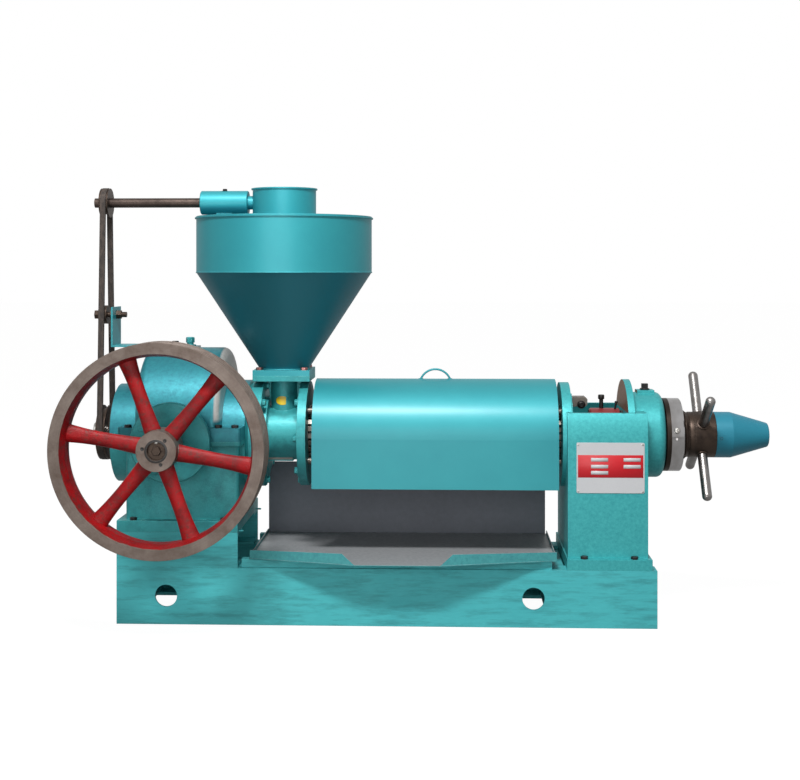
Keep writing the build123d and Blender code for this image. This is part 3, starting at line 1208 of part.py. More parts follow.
# Hood: a half-round sheet with straight skirts, hinged at the back
with BuildPart() as hood:
    for radius, mode in ((HOOD_RADIUS, Mode.ADD), (HOOD_RADIUS - SHEET, Mode.SUBTRACT)):
        with BuildSketch(Plane.YZ.offset(HOOD_LEFT)):
            with BuildLine():
                front_low = HOOD_FRONT_Z if mode == Mode.ADD else HOOD_FRONT_Z - SHEET
                Line((-radius, front_low), (-radius, AXIS_Z))
                RadiusArc((-radius, AXIS_Z), (radius, AXIS_Z), radius)
                Line((radius, AXIS_Z), (radius, HOOD_REAR_Z if mode == Mode.ADD else front_low))
                if mode == Mode.ADD:
                    Polyline((radius, HOOD_REAR_Z), (radius - SHEET, HOOD_REAR_Z),
                             (radius - SHEET, front_low), (-radius, front_low))
                else:
                    Line((radius, front_low), (-radius, front_low))
            make_face()
        extrude(amount=HOOD_RIGHT - HOOD_LEFT, mode=mode)
    for left, right in hinge_knuckles(False):
        with BuildSketch(Plane.YZ.offset(left)):
            with Locations((HINGE_Y, HINGE_Z)):
                Circle(HINGE_RADIUS)
            with Locations((HINGE_Y - HINGE_RADIUS - HINGE_LEAF / 2, HINGE_Z + 1.5 * HINGE_RADIUS)):
                Rectangle(HINGE_LEAF, 3 * HINGE_RADIUS)
            with Locations((HINGE_Y - HINGE_RADIUS + HINGE_LEAF / 2, HINGE_Z + HINGE_RADIUS)):
                Rectangle(HINGE_LEAF, 2 * HINGE_RADIUS)
            with Locations((HINGE_Y, HINGE_Z)):
                Circle(HINGE_PIN_RADIUS + FIT, mode=Mode.SUBTRACT)
        extrude(amount=right - left)
write_node(hood, "hood")

hood_top = AXIS_Z + HOOD_RADIUS
with BuildPart() as handle:
    with BuildLine() as handle_path:
        foot_left = (HANDLE_LEFT, 0, hood_top)
        foot_right = (HANDLE_RIGHT, 0, hood_top)
        ThreePointArc(foot_left, ((HANDLE_LEFT + HANDLE_RIGHT) / 2, 0, hood_top + HANDLE_HEIGHT),
                      foot_right)
    with BuildSketch(Plane(origin=foot_left, z_dir=handle_path.line % 0)):
        Circle(HANDLE_WIRE)
    sweep()
    split(bisect_by=Plane.XY.offset(hood_top + 0.2), keep=Keep.TOP)
write_node(handle, "hood_handle")

# Cake frame: open at the top window and at the foot, with the cage's end ring and the bearing boss
frame_half = BOX_HALF_WIDTH
with BuildPart() as frame:
    with BuildSketch(Plane.YZ.offset(FRAME_LEFT)):
        with Locations((0, AXIS_Z)):
            Circle(frame_half)
        with Locations((0, (AXIS_Z + RAIL_TOP) / 2)):
            Rectangle(2 * frame_half, AXIS_Z - RAIL_TOP)
    extrude(amount=FRAME_RIGHT - FRAME_LEFT)
    split(bisect_by=Plane.XY.offset(WINDOW_Z), keep=Keep.BOTTOM)
    with BuildSketch(Plane.XY.offset(RAIL_TOP)):
        with Locations(((FRAME_FOOT_LEFT + FRAME_FOOT_RIGHT) / 2, 0)):
            Rectangle(FRAME_FOOT_RIGHT - FRAME_FOOT_LEFT, 2 * FOOT_HALF_WIDTH)
    extrude(amount=FRAME_FOOT_THICKNESS)
    for left, right, radius in (
        (CAGE_RIGHT, LEFT_RING_RIGHT, LEFT_RING_RADIUS),
        (RIGHT_RING_LEFT, RIGHT_RING_RIGHT, RIGHT_RING_RADIUS),
        (RIGHT_RING_RIGHT, BEARING_BOSS_RIGHT, BEARING_BOSS_RADIUS),
    ):
        with BuildSketch(Plane.YZ.offset(left)):
            with Locations((0, AXIS_Z)):
                Circle(radius)
        extrude(amount=right - left)
    fillet(frame.faces().sort_by(Axis.X)[-1].edges(), BOSS_EDGE)
    with BuildSketch(Plane.XY.offset(AXIS_Z + BEARING_BOSS_RADIUS + PLUG_PAD)):
        with Locations((PLUG_X, 0)):
            Rectangle(PLUG_PAD_LENGTH, PLUG_PAD_LENGTH)
    extrude(amount=-3 * PLUG_PAD)
    chamber_length = RIGHT_RING_LEFT - LEFT_RING_RIGHT
    with BuildSketch(Plane.YZ.offset(LEFT_RING_RIGHT)):
        with Locations((0, AXIS_Z)):
            Circle(frame_half - FRAME_WALL)
        with Locations((0, (AXIS_Z + RAIL_TOP) / 2)):
            Rectangle(2 * (frame_half - FRAME_WALL), AXIS_Z - RAIL_TOP)
    extrude(amount=chamber_length, mode=Mode.SUBTRACT)
    with BuildSketch(Plane.YZ.offset(CAGE_RIGHT)):
        with Locations((0, AXIS_Z)):
            Circle(CHAMBER_RADIUS)
    extrude(amount=LEFT_RING_RIGHT - CAGE_RIGHT, mode=Mode.SUBTRACT)
    with BuildSketch(Plane.YZ.offset(RIGHT_RING_LEFT)):
        with Locations((0, AXIS_Z)):
            Circle(SCREW_RADIUS + FIT)
    extrude(amount=BEARING_BOSS_RIGHT - RIGHT_RING_LEFT, mode=Mode.SUBTRACT)
    with BuildSketch(Plane.XY.offset(RAIL_TOP)):
        with Locations(*frame_bolts):
            Circle(SMALL_BOLT + BOLT_PLAY)
    extrude(amount=FRAME_FOOT_THICKNESS, mode=Mode.SUBTRACT)
write_node(frame, "cake_frame")

frame_bolt_planes = [Plane((x, y, RAIL_TOP + FRAME_FOOT_THICKNESS)) for x, y in frame_bolts]
write_group(bolts_at(frame_bolt_planes, SMALL_BOLT, FRAME_FOOT_THICKNESS), "cake_frame_bolts")

with BuildPart() as frame_plug:
    plug_z = AXIS_Z + BEARING_BOSS_RADIUS + PLUG_PAD
    with BuildSketch(Plane.XY.offset(plug_z)):
        with Locations((PLUG_X, 0)):
            Circle(14)
    extrude(amount=4)
    with BuildSketch(Plane.XY.offset(plug_z + 4)):
        with Locations((PLUG_X, 0)):
            RectangleRounded(18, 18, 2)
    extrude(amount=14)
write_node(frame_plug, "grease_plug")

with BuildPart() as nameplate:
    with BuildSketch(Plane.XZ.offset(frame_half)):
        with Locations(((NAMEPLATE_LEFT + NAMEPLATE_RIGHT) / 2,
                        (NAMEPLATE_BOTTOM_Z + NAMEPLATE_TOP_Z) / 2)):
            RectangleRounded(NAMEPLATE_RIGHT - NAMEPLATE_LEFT, NAMEPLATE_TOP_Z - NAMEPLATE_BOTTOM_Z, 4)
    extrude(amount=NAMEPLATE_THICKNESS)
write_node(nameplate, "nameplate")

with BuildPart() as scraper:
    with BuildSketch(Plane.YZ.offset(LEFT_RING_RIGHT)):
        with Locations((0, AXIS_Z + SCRAPER_BOTTOM + SCRAPER_HEIGHT / 2)):
            Rectangle(SCRAPER_WIDTH, SCRAPER_HEIGHT)
    extrude(amount=SCRAPER_LENGTH)
    chamfer(scraper.edges().filter_by(Axis.Y).sort_by(Axis.X)[-2:], 6)
write_node(scraper, "cake_scraper")

# Adjusting end: thrust cup, hollow screw with tommy bars, lock ring and end cone
with BuildPart() as cup:
    with BuildSketch(Plane.YZ.offset(CUP_LEFT)):
        with Locations((0, AXIS_Z)):
            Circle(CUP_RADIUS)
            Circle(HUB_BORE + 1, mode=Mode.SUBTRACT)
    extrude(amount=SCREW_INNER_X - CUP_LEFT)
    fillet(cup.faces().sort_by(Axis.X)[0].edges().sort_by(SortBy.LENGTH)[-1], 8)
write_node(cup, "thrust_cup")

with BuildPart() as screw:
    for left, right, radius in (
        (SCREW_INNER_X, HEAD_LEFT, SCREW_RADIUS), (HEAD_LEFT, HEAD_RIGHT, HEAD_RADIUS),
    ):
        with BuildSketch(Plane.YZ.offset(left)):
            with Locations((0, AXIS_Z)):
                Circle(radius)
        extrude(amount=right - left)
    with BuildSketch(Plane.YZ.offset(SCREW_INNER_X)):
        with Locations((0, AXIS_Z)):
            Circle(SCREW_BORE)
    extrude(amount=HEAD_LEFT - SCREW_INNER_X, mode=Mode.SUBTRACT)
    for angle in rod_angles:
        along = Vector(0, sin(radians(angle)), cos(radians(angle)))
        rod_seat = Vector(ROD_X, 0, AXIS_Z) + along * ROD_ROOT
        with BuildSketch(Plane(origin=rod_seat, x_dir=(1, 0, 0), z_dir=along)):
            Circle(ROD_RADIUS + FIT)
        extrude(amount=HEAD_RADIUS, mode=Mode.SUBTRACT)
write_node(screw, "adjusting_screw")

rods = []
for angle in rod_angles:
    along = Vector(0, sin(radians(angle)), cos(radians(angle)))
    rod_seat = Vector(ROD_X, 0, AXIS_Z) + along * ROD_ROOT
    with BuildPart() as rod:
        with BuildSketch(Plane(origin=rod_seat, x_dir=(1, 0, 0), z_dir=along)):
            Circle(ROD_RADIUS)
        extrude(amount=ROD_REACH - ROD_ROOT)
        fillet(rod.faces().sort_by(Axis(rod_seat, along))[-1].edges(), ROD_RADIUS - 1)
    rods.append(rod.part)
write_group(rods, "tommy_bars")

with BuildPart() as lock_ring:
    with BuildSketch(Plane.YZ.offset(LOCK_LEFT)):
        with Locations((0, AXIS_Z)):
            Circle(LOCK_RADIUS)
    extrude(amount=LOCK_RIGHT - LOCK_LEFT)
    chamfer(lock_ring.edges().filter_by(GeomType.CIRCLE), 2.5)
    with BuildSketch(Plane.YZ.offset(LOCK_LEFT)):
        with Locations((0, AXIS_Z)):
            Circle(SCREW_RADIUS + FIT)
    extrude(amount=LOCK_RIGHT - LOCK_LEFT, mode=Mode.SUBTRACT)
    with BuildSketch(Plane.XZ.offset(LOCK_RADIUS + 1)):
        with Locations(((LOCK_LEFT + LOCK_RIGHT) / 2, AXIS_Z)):
            Circle(6)
    extrude(amount=-14, mode=Mode.SUBTRACT)
write_node(lock_ring, "lock_ring")

with BuildPart() as cone:
    with BuildSketch(Plane.XZ):
        with BuildLine():
            Polyline(
                (HEAD_RIGHT, AXIS_Z), (HEAD_RIGHT, AXIS_Z + HEAD_RADIUS),
                (CONE_CYLINDER_END, AXIS_Z + HEAD_RADIUS), (CONE_END, AXIS_Z + CONE_TIP_RADIUS),
                (CONE_END, AXIS_Z), close=True,
            )
        make_face()
    revolve(axis=Axis((0, 0, AXIS_Z), (1, 0, 0)))
    fillet(cone.faces().sort_by(Axis.X)[-1].edges(), 6)
write_node(cone, "end_cone")
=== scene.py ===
import bpy
import bmesh
import random
from math import cos, pi, radians, sin
from mathutils import Matrix, Vector


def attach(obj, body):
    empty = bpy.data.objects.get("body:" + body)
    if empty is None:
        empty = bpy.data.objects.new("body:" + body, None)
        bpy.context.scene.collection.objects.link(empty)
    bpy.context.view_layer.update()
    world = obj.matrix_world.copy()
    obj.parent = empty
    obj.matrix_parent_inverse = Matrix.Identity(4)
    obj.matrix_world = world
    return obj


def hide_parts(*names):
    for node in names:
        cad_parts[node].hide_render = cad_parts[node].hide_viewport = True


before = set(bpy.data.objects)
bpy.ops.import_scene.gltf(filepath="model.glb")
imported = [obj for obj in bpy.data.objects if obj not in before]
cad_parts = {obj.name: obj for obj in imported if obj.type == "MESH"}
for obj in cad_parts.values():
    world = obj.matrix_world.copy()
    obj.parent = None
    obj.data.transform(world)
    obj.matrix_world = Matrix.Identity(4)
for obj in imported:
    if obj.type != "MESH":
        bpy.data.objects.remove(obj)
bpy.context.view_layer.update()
random.seed(7)

# The machine's main places, in millimetres
MM = 0.001
AXIS_Z = 515.0
WHEEL_X = -593.0
INLET_X = -306.0
PLATE_FACE_Y = -177.5

# Where one finish gives way to another, as short fades in metres
RIM_PAINT_LINE = (0.2570, 0.2562)
HUB_PAINT_LINE = (0.0545, 0.0560)
CAKE_WINDOW_FOOT = (0.588, 0.592)
RIGHT_RING_FACE = (0.66, 0.67)
JOINT_FLANGE_TOP = (0.565, 0.575)
LOCK_RING_STEP = (0.8105, 0.8115)

# -------------------------------------------------------- paints and metals


def shader_of(name, metallic, coat=0.0):
    """A new material with its shader's even values set."""
    material = bpy.data.materials.new(name)
    material.use_nodes = True
    shader = material.node_tree.nodes["Principled BSDF"]
    shader.inputs["Metallic"].default_value = metallic
    shader.inputs["Coat Weight"].default_value = coat
    shader.inputs["Coat Roughness"].default_value = 0.3
    return material, shader


def linear(colour):
    """An sRGB colour of 0 to 255 as linear light, with alpha."""
    parts = [c / 255 for c in colour]
    return tuple(c / 12.92 if c <= 0.04045 else ((c + 0.055) / 1.055) ** 2.4 for c in parts) + (1.0,)


def join(material, value, socket):
    """Feeds a socket with a number, a colour or another node's result."""
    if isinstance(value, (int, float, tuple)):
        socket.default_value = value
    else:
        material.node_tree.links.new(value, socket)


def coordinates(material, stretch=(1, 1, 1), centre=(0, 0, 0)):
    """Object coordinates, centred in metres and then stretched."""
    source = material.node_tree.nodes.new("ShaderNodeTexCoord")
    mapping = material.node_tree.nodes.new("ShaderNodeMapping")
    mapping.inputs["Location"].default_value = [-c * s for c, s in zip(centre, stretch)]
    mapping.inputs["Scale"].default_value = stretch
    join(material, source.outputs["Object"], mapping.inputs["Vector"])
    return mapping.outputs["Vector"]


def noise(material, vector, scale, detail=4.0, roughness=0.6):
    """A cloudy pattern between 0 and 1."""
    node = material.node_tree.nodes.new("ShaderNodeTexNoise")
    node.inputs["Scale"].default_value = scale
    node.inputs["Detail"].default_value = detail
    node.inputs["Roughness"].default_value = roughness
    join(material, vector, node.inputs["Vector"])
    return node.outputs["Fac"]


def spread(material, value, low, high, to_low=0.0, to_high=1.0):
    """Spreads a value between two ends, held inside them."""
    node = material.node_tree.nodes.new("ShaderNodeMapRange")
    node.inputs["From Min"].default_value = low
    node.inputs["From Max"].default_value = high
    node.inputs["To Min"].default_value = to_low
    node.inputs["To Max"].default_value = to_high
    join(material, value, node.inputs["Value"])
    return node.outputs["Result"]


def worked(material, operation, first, second):
    """Two values worked together by one operation."""
    node = material.node_tree.nodes.new("ShaderNodeMath")
    node.operation = operation
    join(material, first, node.inputs[0])
    join(material, second, node.inputs[1])
    return node.outputs["Value"]


def times(material, first, second):
    """One value times another."""
    return worked(material, "MULTIPLY", first, second)


def plus(material, first, second):
    """One value added to another."""
    return worked(material, "ADD", first, second)


def blended(material, amount, first, second):
    """One colour over another by an amount."""
    node = material.node_tree.nodes.new("ShaderNodeMix")
    node.data_type = "RGBA"
    join(material, amount, node.inputs["Factor"])
    join(material, first, node.inputs[6])
    join(material, second, node.inputs[7])
    return node.outputs[2]


def axis_part(material, vector, letter):
    """One of the three parts of a vector."""
    node = material.node_tree.nodes.new("ShaderNodeSeparateXYZ")
    join(material, vector, node.inputs[0])
    return node.outputs[letter]


def facing(material, letter):
    """How far the surface faces along an axis of the machine."""
    node = material.node_tree.nodes.new("ShaderNodeNewGeometry")
    return axis_part(material, node.outputs["True Normal"], letter)


def softened(material, reach):
    """The surface's direction, with its sharp edges rounded."""
    rounded = material.node_tree.nodes.new("ShaderNodeBevel")
    rounded.samples = 4
    rounded.inputs["Radius"].default_value = reach
    return rounded.outputs["Normal"]


def edge_wear(material, soft):
    """High where the rounded direction parts from the plain one."""
    flat = material.node_tree.nodes.new("ShaderNodeNewGeometry")
    likeness = material.node_tree.nodes.new("ShaderNodeVectorMath")
    likeness.operation = "DOT_PRODUCT"
    join(material, soft, likeness.inputs[0])
    join(material, flat.outputs["Normal"], likeness.inputs[1])
    return spread(material, likeness.outputs["Value"], 0.985, 0.80)


def bumped(material, shader, height, strength, distance, normal=None):
    """Raises the surface by a height pattern."""
    node = material.node_tree.nodes.new("ShaderNodeBump")
    node.inputs["Strength"].default_value = strength
    node.inputs["Distance"].default_value = distance
    join(material, height, node.inputs["Height"])
    if normal is not None:
        join(material, normal, node.inputs["Normal"])
    join(material, node.outputs["Normal"], shader.inputs["Normal"])


def paint(name, colour, shade, metallic, roughness, grain, bump, wear, stretch=(1, 1, 1), coat=0.25,
          reach=0.0015, lumps=0.0, under=None):
    """Enamel with uneven tone, fine or cast grain, worn edges and, where an under colour is given,
    painted shade on faces that look down.
    """
    material, shader = shader_of(name, metallic, coat)
    vector = coordinates(material, stretch)
    plain = coordinates(material)
    tone = spread(material, noise(material, plain, scale=3.5, detail=5), 0.35, 0.65)
    mottle = spread(material, noise(material, vector, grain, detail=6, roughness=0.7), 0.35, 0.75)
    mixed = times(material, plus(material, tone, mottle), 0.5)
    base = blended(material, mixed, linear(colour), linear(shade))
    if lumps:
        dirt = noise(material, vector, scale=16, detail=8, roughness=0.7)
        grime = spread(material, dirt, 0.47, 0.66, to_high=0.6)
        base = blended(material, grime, base, linear([c * 0.74 for c in shade]))
    # Painted shade: faces that look down are darkened towards the under colour.
    if under is not None:
        painted_underside_shade = spread(material, facing(material, "Z"), -0.2, -0.5)
        base = blended(material, painted_underside_shade, base, linear(under))
    soft = softened(material, reach)
    broken = spread(material, noise(material, plain, scale=55, detail=5), 0.42, 0.6)
    rub = times(material, edge_wear(material, soft), broken)
    base = blended(material, rub, base, linear(wear))
    join(material, base, shader.inputs["Base Color"])
    uneven = 0.06 if lumps else 0.012
    cloud = noise(material, plain, scale=18, detail=4)
    gloss = spread(material, cloud, 0.3, 0.7, roughness - uneven, roughness + uneven)
    join(material, gloss, shader.inputs["Roughness"])
    height = noise(material, vector, scale=grain * 4, detail=3)
    if lumps:
        swell = noise(material, plain, scale=22, detail=3)
        height = plus(material, height, times(material, swell, lumps))
    bumped(material, shader, height, bump, distance=0.0015, normal=soft)
    return material


def metal(name, colour, stain, roughness, grain=160.0, stretch=(1, 1, 1), bump=0.12, metallic=1.0):
    """Bare metal with tool marks, stains and brighter edges."""
    material, shader = shader_of(name, metallic)
    vector = coordinates(material, stretch)
    plain = coordinates(material)
    marks = noise(material, vector, grain, detail=3)
    spots = spread(material, noise(material, plain, scale=26, detail=8, roughness=0.7), 0.45, 0.72)
    base = blended(material, spots, linear(colour), linear(stain))
    soft = softened(material, 0.0012)
    bright = tuple(min(255, c + 45) for c in colour)
    rub = times(material, edge_wear(material, soft), 0.7)
    base = blended(material, rub, base, linear(bright))
    join(material, base, shader.inputs["Base Color"])
    gloss = spread(material, marks, 0.3, 0.7, roughness - 0.07, roughness + 0.1)
    join(material, gloss, shader.inputs["Roughness"])
    bumped(material, shader, marks, bump, distance=0.0006, normal=soft)
    return material


def masked(name, top, under, mask_of, metallic=0.2, roughness=0.45, grain=90.0, bump=0.15):
    """Two paints on one piece, parted where mask_of says."""
    material, shader = shader_of(name, metallic, 0.1)
    plain = coordinates(material)
    mottle = spread(material, noise(material, plain, grain, detail=6, roughness=0.7), 0.35, 0.75)
    first = blended(material, mottle, linear(top[0]), linear(top[1]))
    second = blended(material, mottle, linear(under[0]), linear(under[1]))
    join(material, blended(material, mask_of(material), second, first), shader.inputs["Base Color"])
    gloss = spread(material, mottle, 0, 1, roughness - 0.05, roughness + 0.08)
    join(material, gloss, shader.inputs["Roughness"])
    height = noise(material, plain, scale=grain * 3, detail=4)
    soft = softened(material, 0.0012)
    bumped(material, shader, height, bump, distance=0.001, normal=soft)
    return material


def faces_up(material):
    """High where a face looks up, as the tray's bare floor does."""
    return spread(material, facing(material, "Z"), 0.5, 0.7)


def window_side(material):
    """The face of the right ring that looks into the cake window."""
    left_facing = spread(material, facing(material, "X"), -0.6, -0.8)
    above = spread(material, axis_part(material, coordinates(material), "Z"), *CAKE_WINDOW_FOOT)
    beyond = spread(material, axis_part(material, coordinates(material), "X"), *RIGHT_RING_FACE)
    return times(material, left_facing, times(material, above, beyond))


def drum_end(material):
    """The cover's right end face above the joint flange."""
    right_facing = spread(material, facing(material, "X"), 0.25, 0.45)
    above = spread(material, axis_part(material, coordinates(material), "Z"), *JOINT_FLANGE_TOP)
    return times(material, right_facing, above)


def wheel_finish():
    """Red enamel on rough spokes, with the rim's and the hub's faces turned bare."""
    material, shader = shader_of("cast_wheel", 0.0)
    shader.inputs["Specular IOR Level"].default_value = 0.3
    centred = coordinates(material, centre=(WHEEL_X * MM, 0, AXIS_Z * MM))
    across, up = axis_part(material, centred, "X"), axis_part(material, centred, "Z")
    squares = plus(material, times(material, across, across), times(material, up, up))
    radius = worked(material, "POWER", squares, 0.5)
    brush = worked(material, "SUBTRACT", noise(material, centred, scale=45), 0.5)
    edge = plus(material, radius, times(material, brush, 0.004))
    inside_rim = spread(material, edge, *RIM_PAINT_LINE)
    outside_hub = spread(material, edge, *HUB_PAINT_LINE)
    painted = times(material, inside_rim, outside_hub)
    bare_amount = worked(material, "SUBTRACT", 1.0, painted)

    rings = material.node_tree.nodes.new("ShaderNodeTexNoise")
    rings.noise_dimensions = "1D"
    rings.inputs["Scale"].default_value = 700
    rings.inputs["Detail"].default_value = 3
    join(material, radius, rings.inputs["W"])
    rust = spread(material, noise(material, centred, scale=14, detail=8, roughness=0.72), 0.38, 0.68)
    grooves = spread(material, rings.outputs["Fac"], 0.3, 0.8, to_high=0.35)
    bare = blended(material, rust, linear((134, 122, 114)), linear((98, 84, 76)))
    bare = blended(material, grooves, bare, linear((86, 76, 70)))

    tone = spread(material, noise(material, centred, scale=9, detail=5), 0.3, 0.7)
    specks = noise(material, centred, scale=60, detail=8, roughness=0.75)
    chips = spread(material, specks, 0.53, 0.60)
    oil = noise(material, centred, scale=20, detail=8, roughness=0.75)
    soot = spread(material, oil, 0.48, 0.66, to_high=0.6)
    red = blended(material, tone, linear((172, 10, 16)), linear((120, 8, 14)))
    red = blended(material, soot, red, linear((66, 18, 18)))
    red = blended(material, times(material, chips, 0.7), red, linear((92, 48, 42)))

    join(material, blended(material, painted, bare, red), shader.inputs["Base Color"])
    join(material, times(material, bare_amount, 0.6), shader.inputs["Metallic"])
    join(material, spread(material, painted, 0, 1, 0.5, 0.42), shader.inputs["Roughness"])
    skin = noise(material, centred, scale=95, detail=6, roughness=0.7)
    rough = times(material, skin, painted)
    turned = times(material, rings.outputs["Fac"], bare_amount)
    height = plus(material, rough, times(material, turned, 0.2))
    soft = softened(material, 0.0015)
    bumped(material, shader, height, strength=0.7, distance=0.003, normal=soft)
    return material


def rubber():
    """Belt rubber with a woven cover and dusty patches."""
    material, shader = shader_of("worn_belt_rubber", 0.0)
    vector = coordinates(material, stretch=(1, 1, 0.35))
    dust = spread(material, noise(material, vector, scale=120, detail=6, roughness=0.7), 0.4, 0.75)
    base = blended(material, dust, linear((40, 34, 31)), linear((84, 72, 64)))
    join(material, base, shader.inputs["Base Color"])
    shader.inputs["Roughness"].default_value = 0.7
    weave = material.node_tree.nodes.new("ShaderNodeTexWave")
    weave.bands_direction = "DIAGONAL"
    weave.inputs["Scale"].default_value = 260
    weave.inputs["Distortion"].default_value = 1.5
    join(material, vector, weave.inputs["Vector"])
    bumped(material, shader, weave.outputs["Fac"], strength=0.25, distance=0.0006)
    return material


def ring_chrome():
    """Polished ring with a darker turned step on its left side."""
    material, shader = shader_of("polished_lock_ring", 1.0)
    place = axis_part(material, coordinates(material), "X")
    polished = spread(material, place, *LOCK_RING_STEP)
    streaks = noise(material, coordinates(material, stretch=(2, 1, 1)), scale=9, detail=3)
    smear = spread(material, streaks, 0.3, 0.75)
    bright = blended(material, smear, linear((196, 195, 196)), linear((150, 146, 143)))
    dark = blended(material, smear, linear((70, 62, 56)), linear((44, 38, 34)))
    join(material, blended(material, polished, dark, bright), shader.inputs["Base Color"])
    join(material, spread(material, polished, 0, 1, 0.42, 0.14), shader.inputs["Roughness"])
    turning = noise(material, coordinates(material, stretch=(30, 1, 1)), scale=30, detail=2)
    bumped(material, shader, turning, strength=0.05, distance=0.0003)
    return material


TEAL = (66, 176, 178)
TEAL_DEEP = (46, 150, 156)
WORN_TEAL = (128, 205, 196)
DARK_WEAR = (110, 104, 98)

sheet_paint = paint("teal_enamel_on_sheet", (50, 158, 166), (38, 142, 152), metallic=0.50,
                    roughness=0.60, grain=900, bump=0.03, coat=0.4, wear=(130, 200, 200), reach=0.001)
# The hopper's under colour is painted shade that darkens its cone, which faces down.
hopper_paint = paint("teal_enamel_on_hopper", (52, 166, 174), (40, 148, 160), metallic=0.50,
                     roughness=0.56, grain=700, bump=0.03, coat=0.3, wear=(120, 195, 195),
                     reach=0.001, under=(34, 118, 132))
casting_paint = paint("teal_enamel_on_casting", TEAL, TEAL_DEEP, metallic=0.45, roughness=0.48,
                      grain=130, bump=0.55, coat=0.2, wear=WORN_TEAL, reach=0.002, lumps=2.0)
# The base's teal is its own brushed enamel, set lighter than the castings' teal as painted sunlight on
# the rails.
rail_paint_with_painted_sun = paint("teal_enamel_brushed_on_with_painted_sun", (82, 196, 200), (68, 178, 184), metallic=0.25,
                   roughness=0.55, grain=60, bump=0.14, stretch=(0.5, 1, 3.5), coat=0.0,
                   wear=(36, 84, 88), reach=0.0012, lumps=1.0)
cap_paint = paint("blue_green_cap_enamel", (36, 138, 160), (30, 122, 146), metallic=0.15,
                  roughness=0.45, grain=400, bump=0.05, coat=0.1, wear=(70, 130, 145))
cup_paint = paint("red_enamel_on_cup", (150, 34, 36), (96, 30, 30), metallic=0.1, roughness=0.5,
                  grain=90, bump=0.3, wear=(60, 40, 36))
grey_primer = paint("grey_primer_on_sheet", (112, 117, 126), (98, 102, 111), metallic=0.05,
                    roughness=0.55, grain=60, bump=0.05, coat=0.0, wear=(70, 72, 74))
bolt_black = paint("black_oxide", (26, 26, 28), (44, 40, 38), metallic=0.5, roughness=0.42,
                   grain=300, bump=0.2, coat=0.0, wear=DARK_WEAR)
sign_white = paint("printed_sheet_white", (204, 205, 207), (192, 194, 197), metallic=0.05,
                   roughness=0.40, grain=300, bump=0.03, wear=(150, 150, 150))
sign_red = paint("printed_sheet_red", (206, 20, 34), (190, 16, 30), metallic=0.0, roughness=0.4,
                 grain=200, bump=0.03, wear=(150, 30, 36))
sticker_yellow = paint("sticker_yellow", (244, 208, 36), (228, 176, 24), metallic=0.0,
                       roughness=0.35, grain=120, bump=0.05, wear=(190, 150, 40))
bare_patch = paint("bare_flat_patch", (168, 160, 150), (142, 136, 130), metallic=0.2,
                   roughness=0.55, grain=60, bump=0.15, wear=DARK_WEAR)
# Painted shade: a near-black finish that stands for the dark inside of holes and recesses, with oil in
# the hub's groove.
shadow_black = paint("oil_and_painted_shade_in_recesses", (20, 19, 18), (32, 28, 25), metallic=0.2, roughness=0.5,
                     grain=90, bump=0.3, wear=(50, 46, 42))

hopper_bolt_metal = metal("reddish_fastener", (176, 120, 116), (120, 84, 80), roughness=0.4)
steel = metal("turned_steel", (190, 188, 184), (150, 142, 134), roughness=0.30)
rod_steel = metal("drawn_steel_rod", (150, 147, 145), (118, 112, 108), roughness=0.34, grain=60,
                  bump=0.03)
dark_steel = metal("oiled_dark_steel", (74, 62, 54), (48, 40, 36), roughness=0.40, grain=240,
                   stretch=(6, 1, 1), bump=0.2, metallic=0.85)
shaft_brown = metal("weathered_shaft", (84, 72, 66), (52, 44, 40), roughness=0.42, grain=200,
                    stretch=(8, 1, 1), bump=0.15, metallic=0.8)
gear_iron = metal("gear_iron", (122, 116, 110), (86, 80, 76), roughness=0.4)
cage_steel = metal("cage_steel", (124, 118, 112), (92, 82, 72), roughness=0.42)

tray_paint = masked("tray_enamel_and_bare_floor", ((160, 162, 164), (140, 143, 146)),
                    ((64, 150, 152), (46, 124, 130)), faces_up)
cake_frame_paint = masked("cake_frame_enamel", ((132, 92, 58), (96, 66, 44)), (TEAL, TEAL_DEEP),
                          window_side, metallic=0.40, roughness=0.48, grain=110, bump=0.35)
# The cover's teal is set darker than the castings' teal: painted shade for the drum's top, which faces
# up.
cover_paint_with_painted_shade = masked("cover_enamel_with_painted_shade", ((206, 204, 200), (176, 176, 172)),
                     ((44, 138, 148), (34, 112, 126)), drum_end, metallic=0.50, roughness=0.46,
                     grain=60, bump=0.35)

finishes = {
    rail_paint_with_painted_sun: "front_rail rear_rail cross_members tray_bars plinth_channels",
    casting_paint: "gearbox_housing wheel_bearing_carrier carrier_bolts neck_ring feed_housing "
    "cage_end_ring breather_plug",
    cover_paint_with_painted_shade: "gearbox_cover",
    cake_frame_paint: "cake_frame",
    hopper_paint: "hopper hopper_lid filling_collar top_shaft_sleeve",
    sheet_paint: "hood hood_handle tensioner_bracket",
    cap_paint: "end_cone",
    tray_paint: "oil_tray",
    grey_primer: "splash_plate",
    bolt_black: "gearbox_bolts cake_frame_bolts grease_plug",
    hopper_bolt_metal: "hopper_bolts",
    steel: "wheel_bearings hub_sleeve main_bearings mitre_driver mitre_driven auger_hanger "
    "feed_auger press_shaft worm_sections choke_cone hood_hinge_pins",
    rod_steel: "tommy_bars",
    gear_iron: "crown_gear bevel_pinion",
    cage_steel: "cage_bars clamp_rings tie_rods cake_scraper",
    shaft_brown: "top_shaft",
    dark_steel: "bearing_end_cap wheel_shaft feeder_drive_pulley feeder_driven_pulley "
    "idler_roller idler_bolt adjusting_screw wheel_retaining_bolt",
    rubber(): "feeder_belt",
    wheel_finish(): "drive_wheel",
    sign_white: "nameplate",
    cup_paint: "thrust_cup",
    ring_chrome(): "lock_ring",
}
for material, names in finishes.items():
    for name in names.split():
        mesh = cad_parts[name].data
        mesh.materials.clear()
        mesh.materials.append(material)

# -------------------------------------------------------- shaping helpers, in millimetres

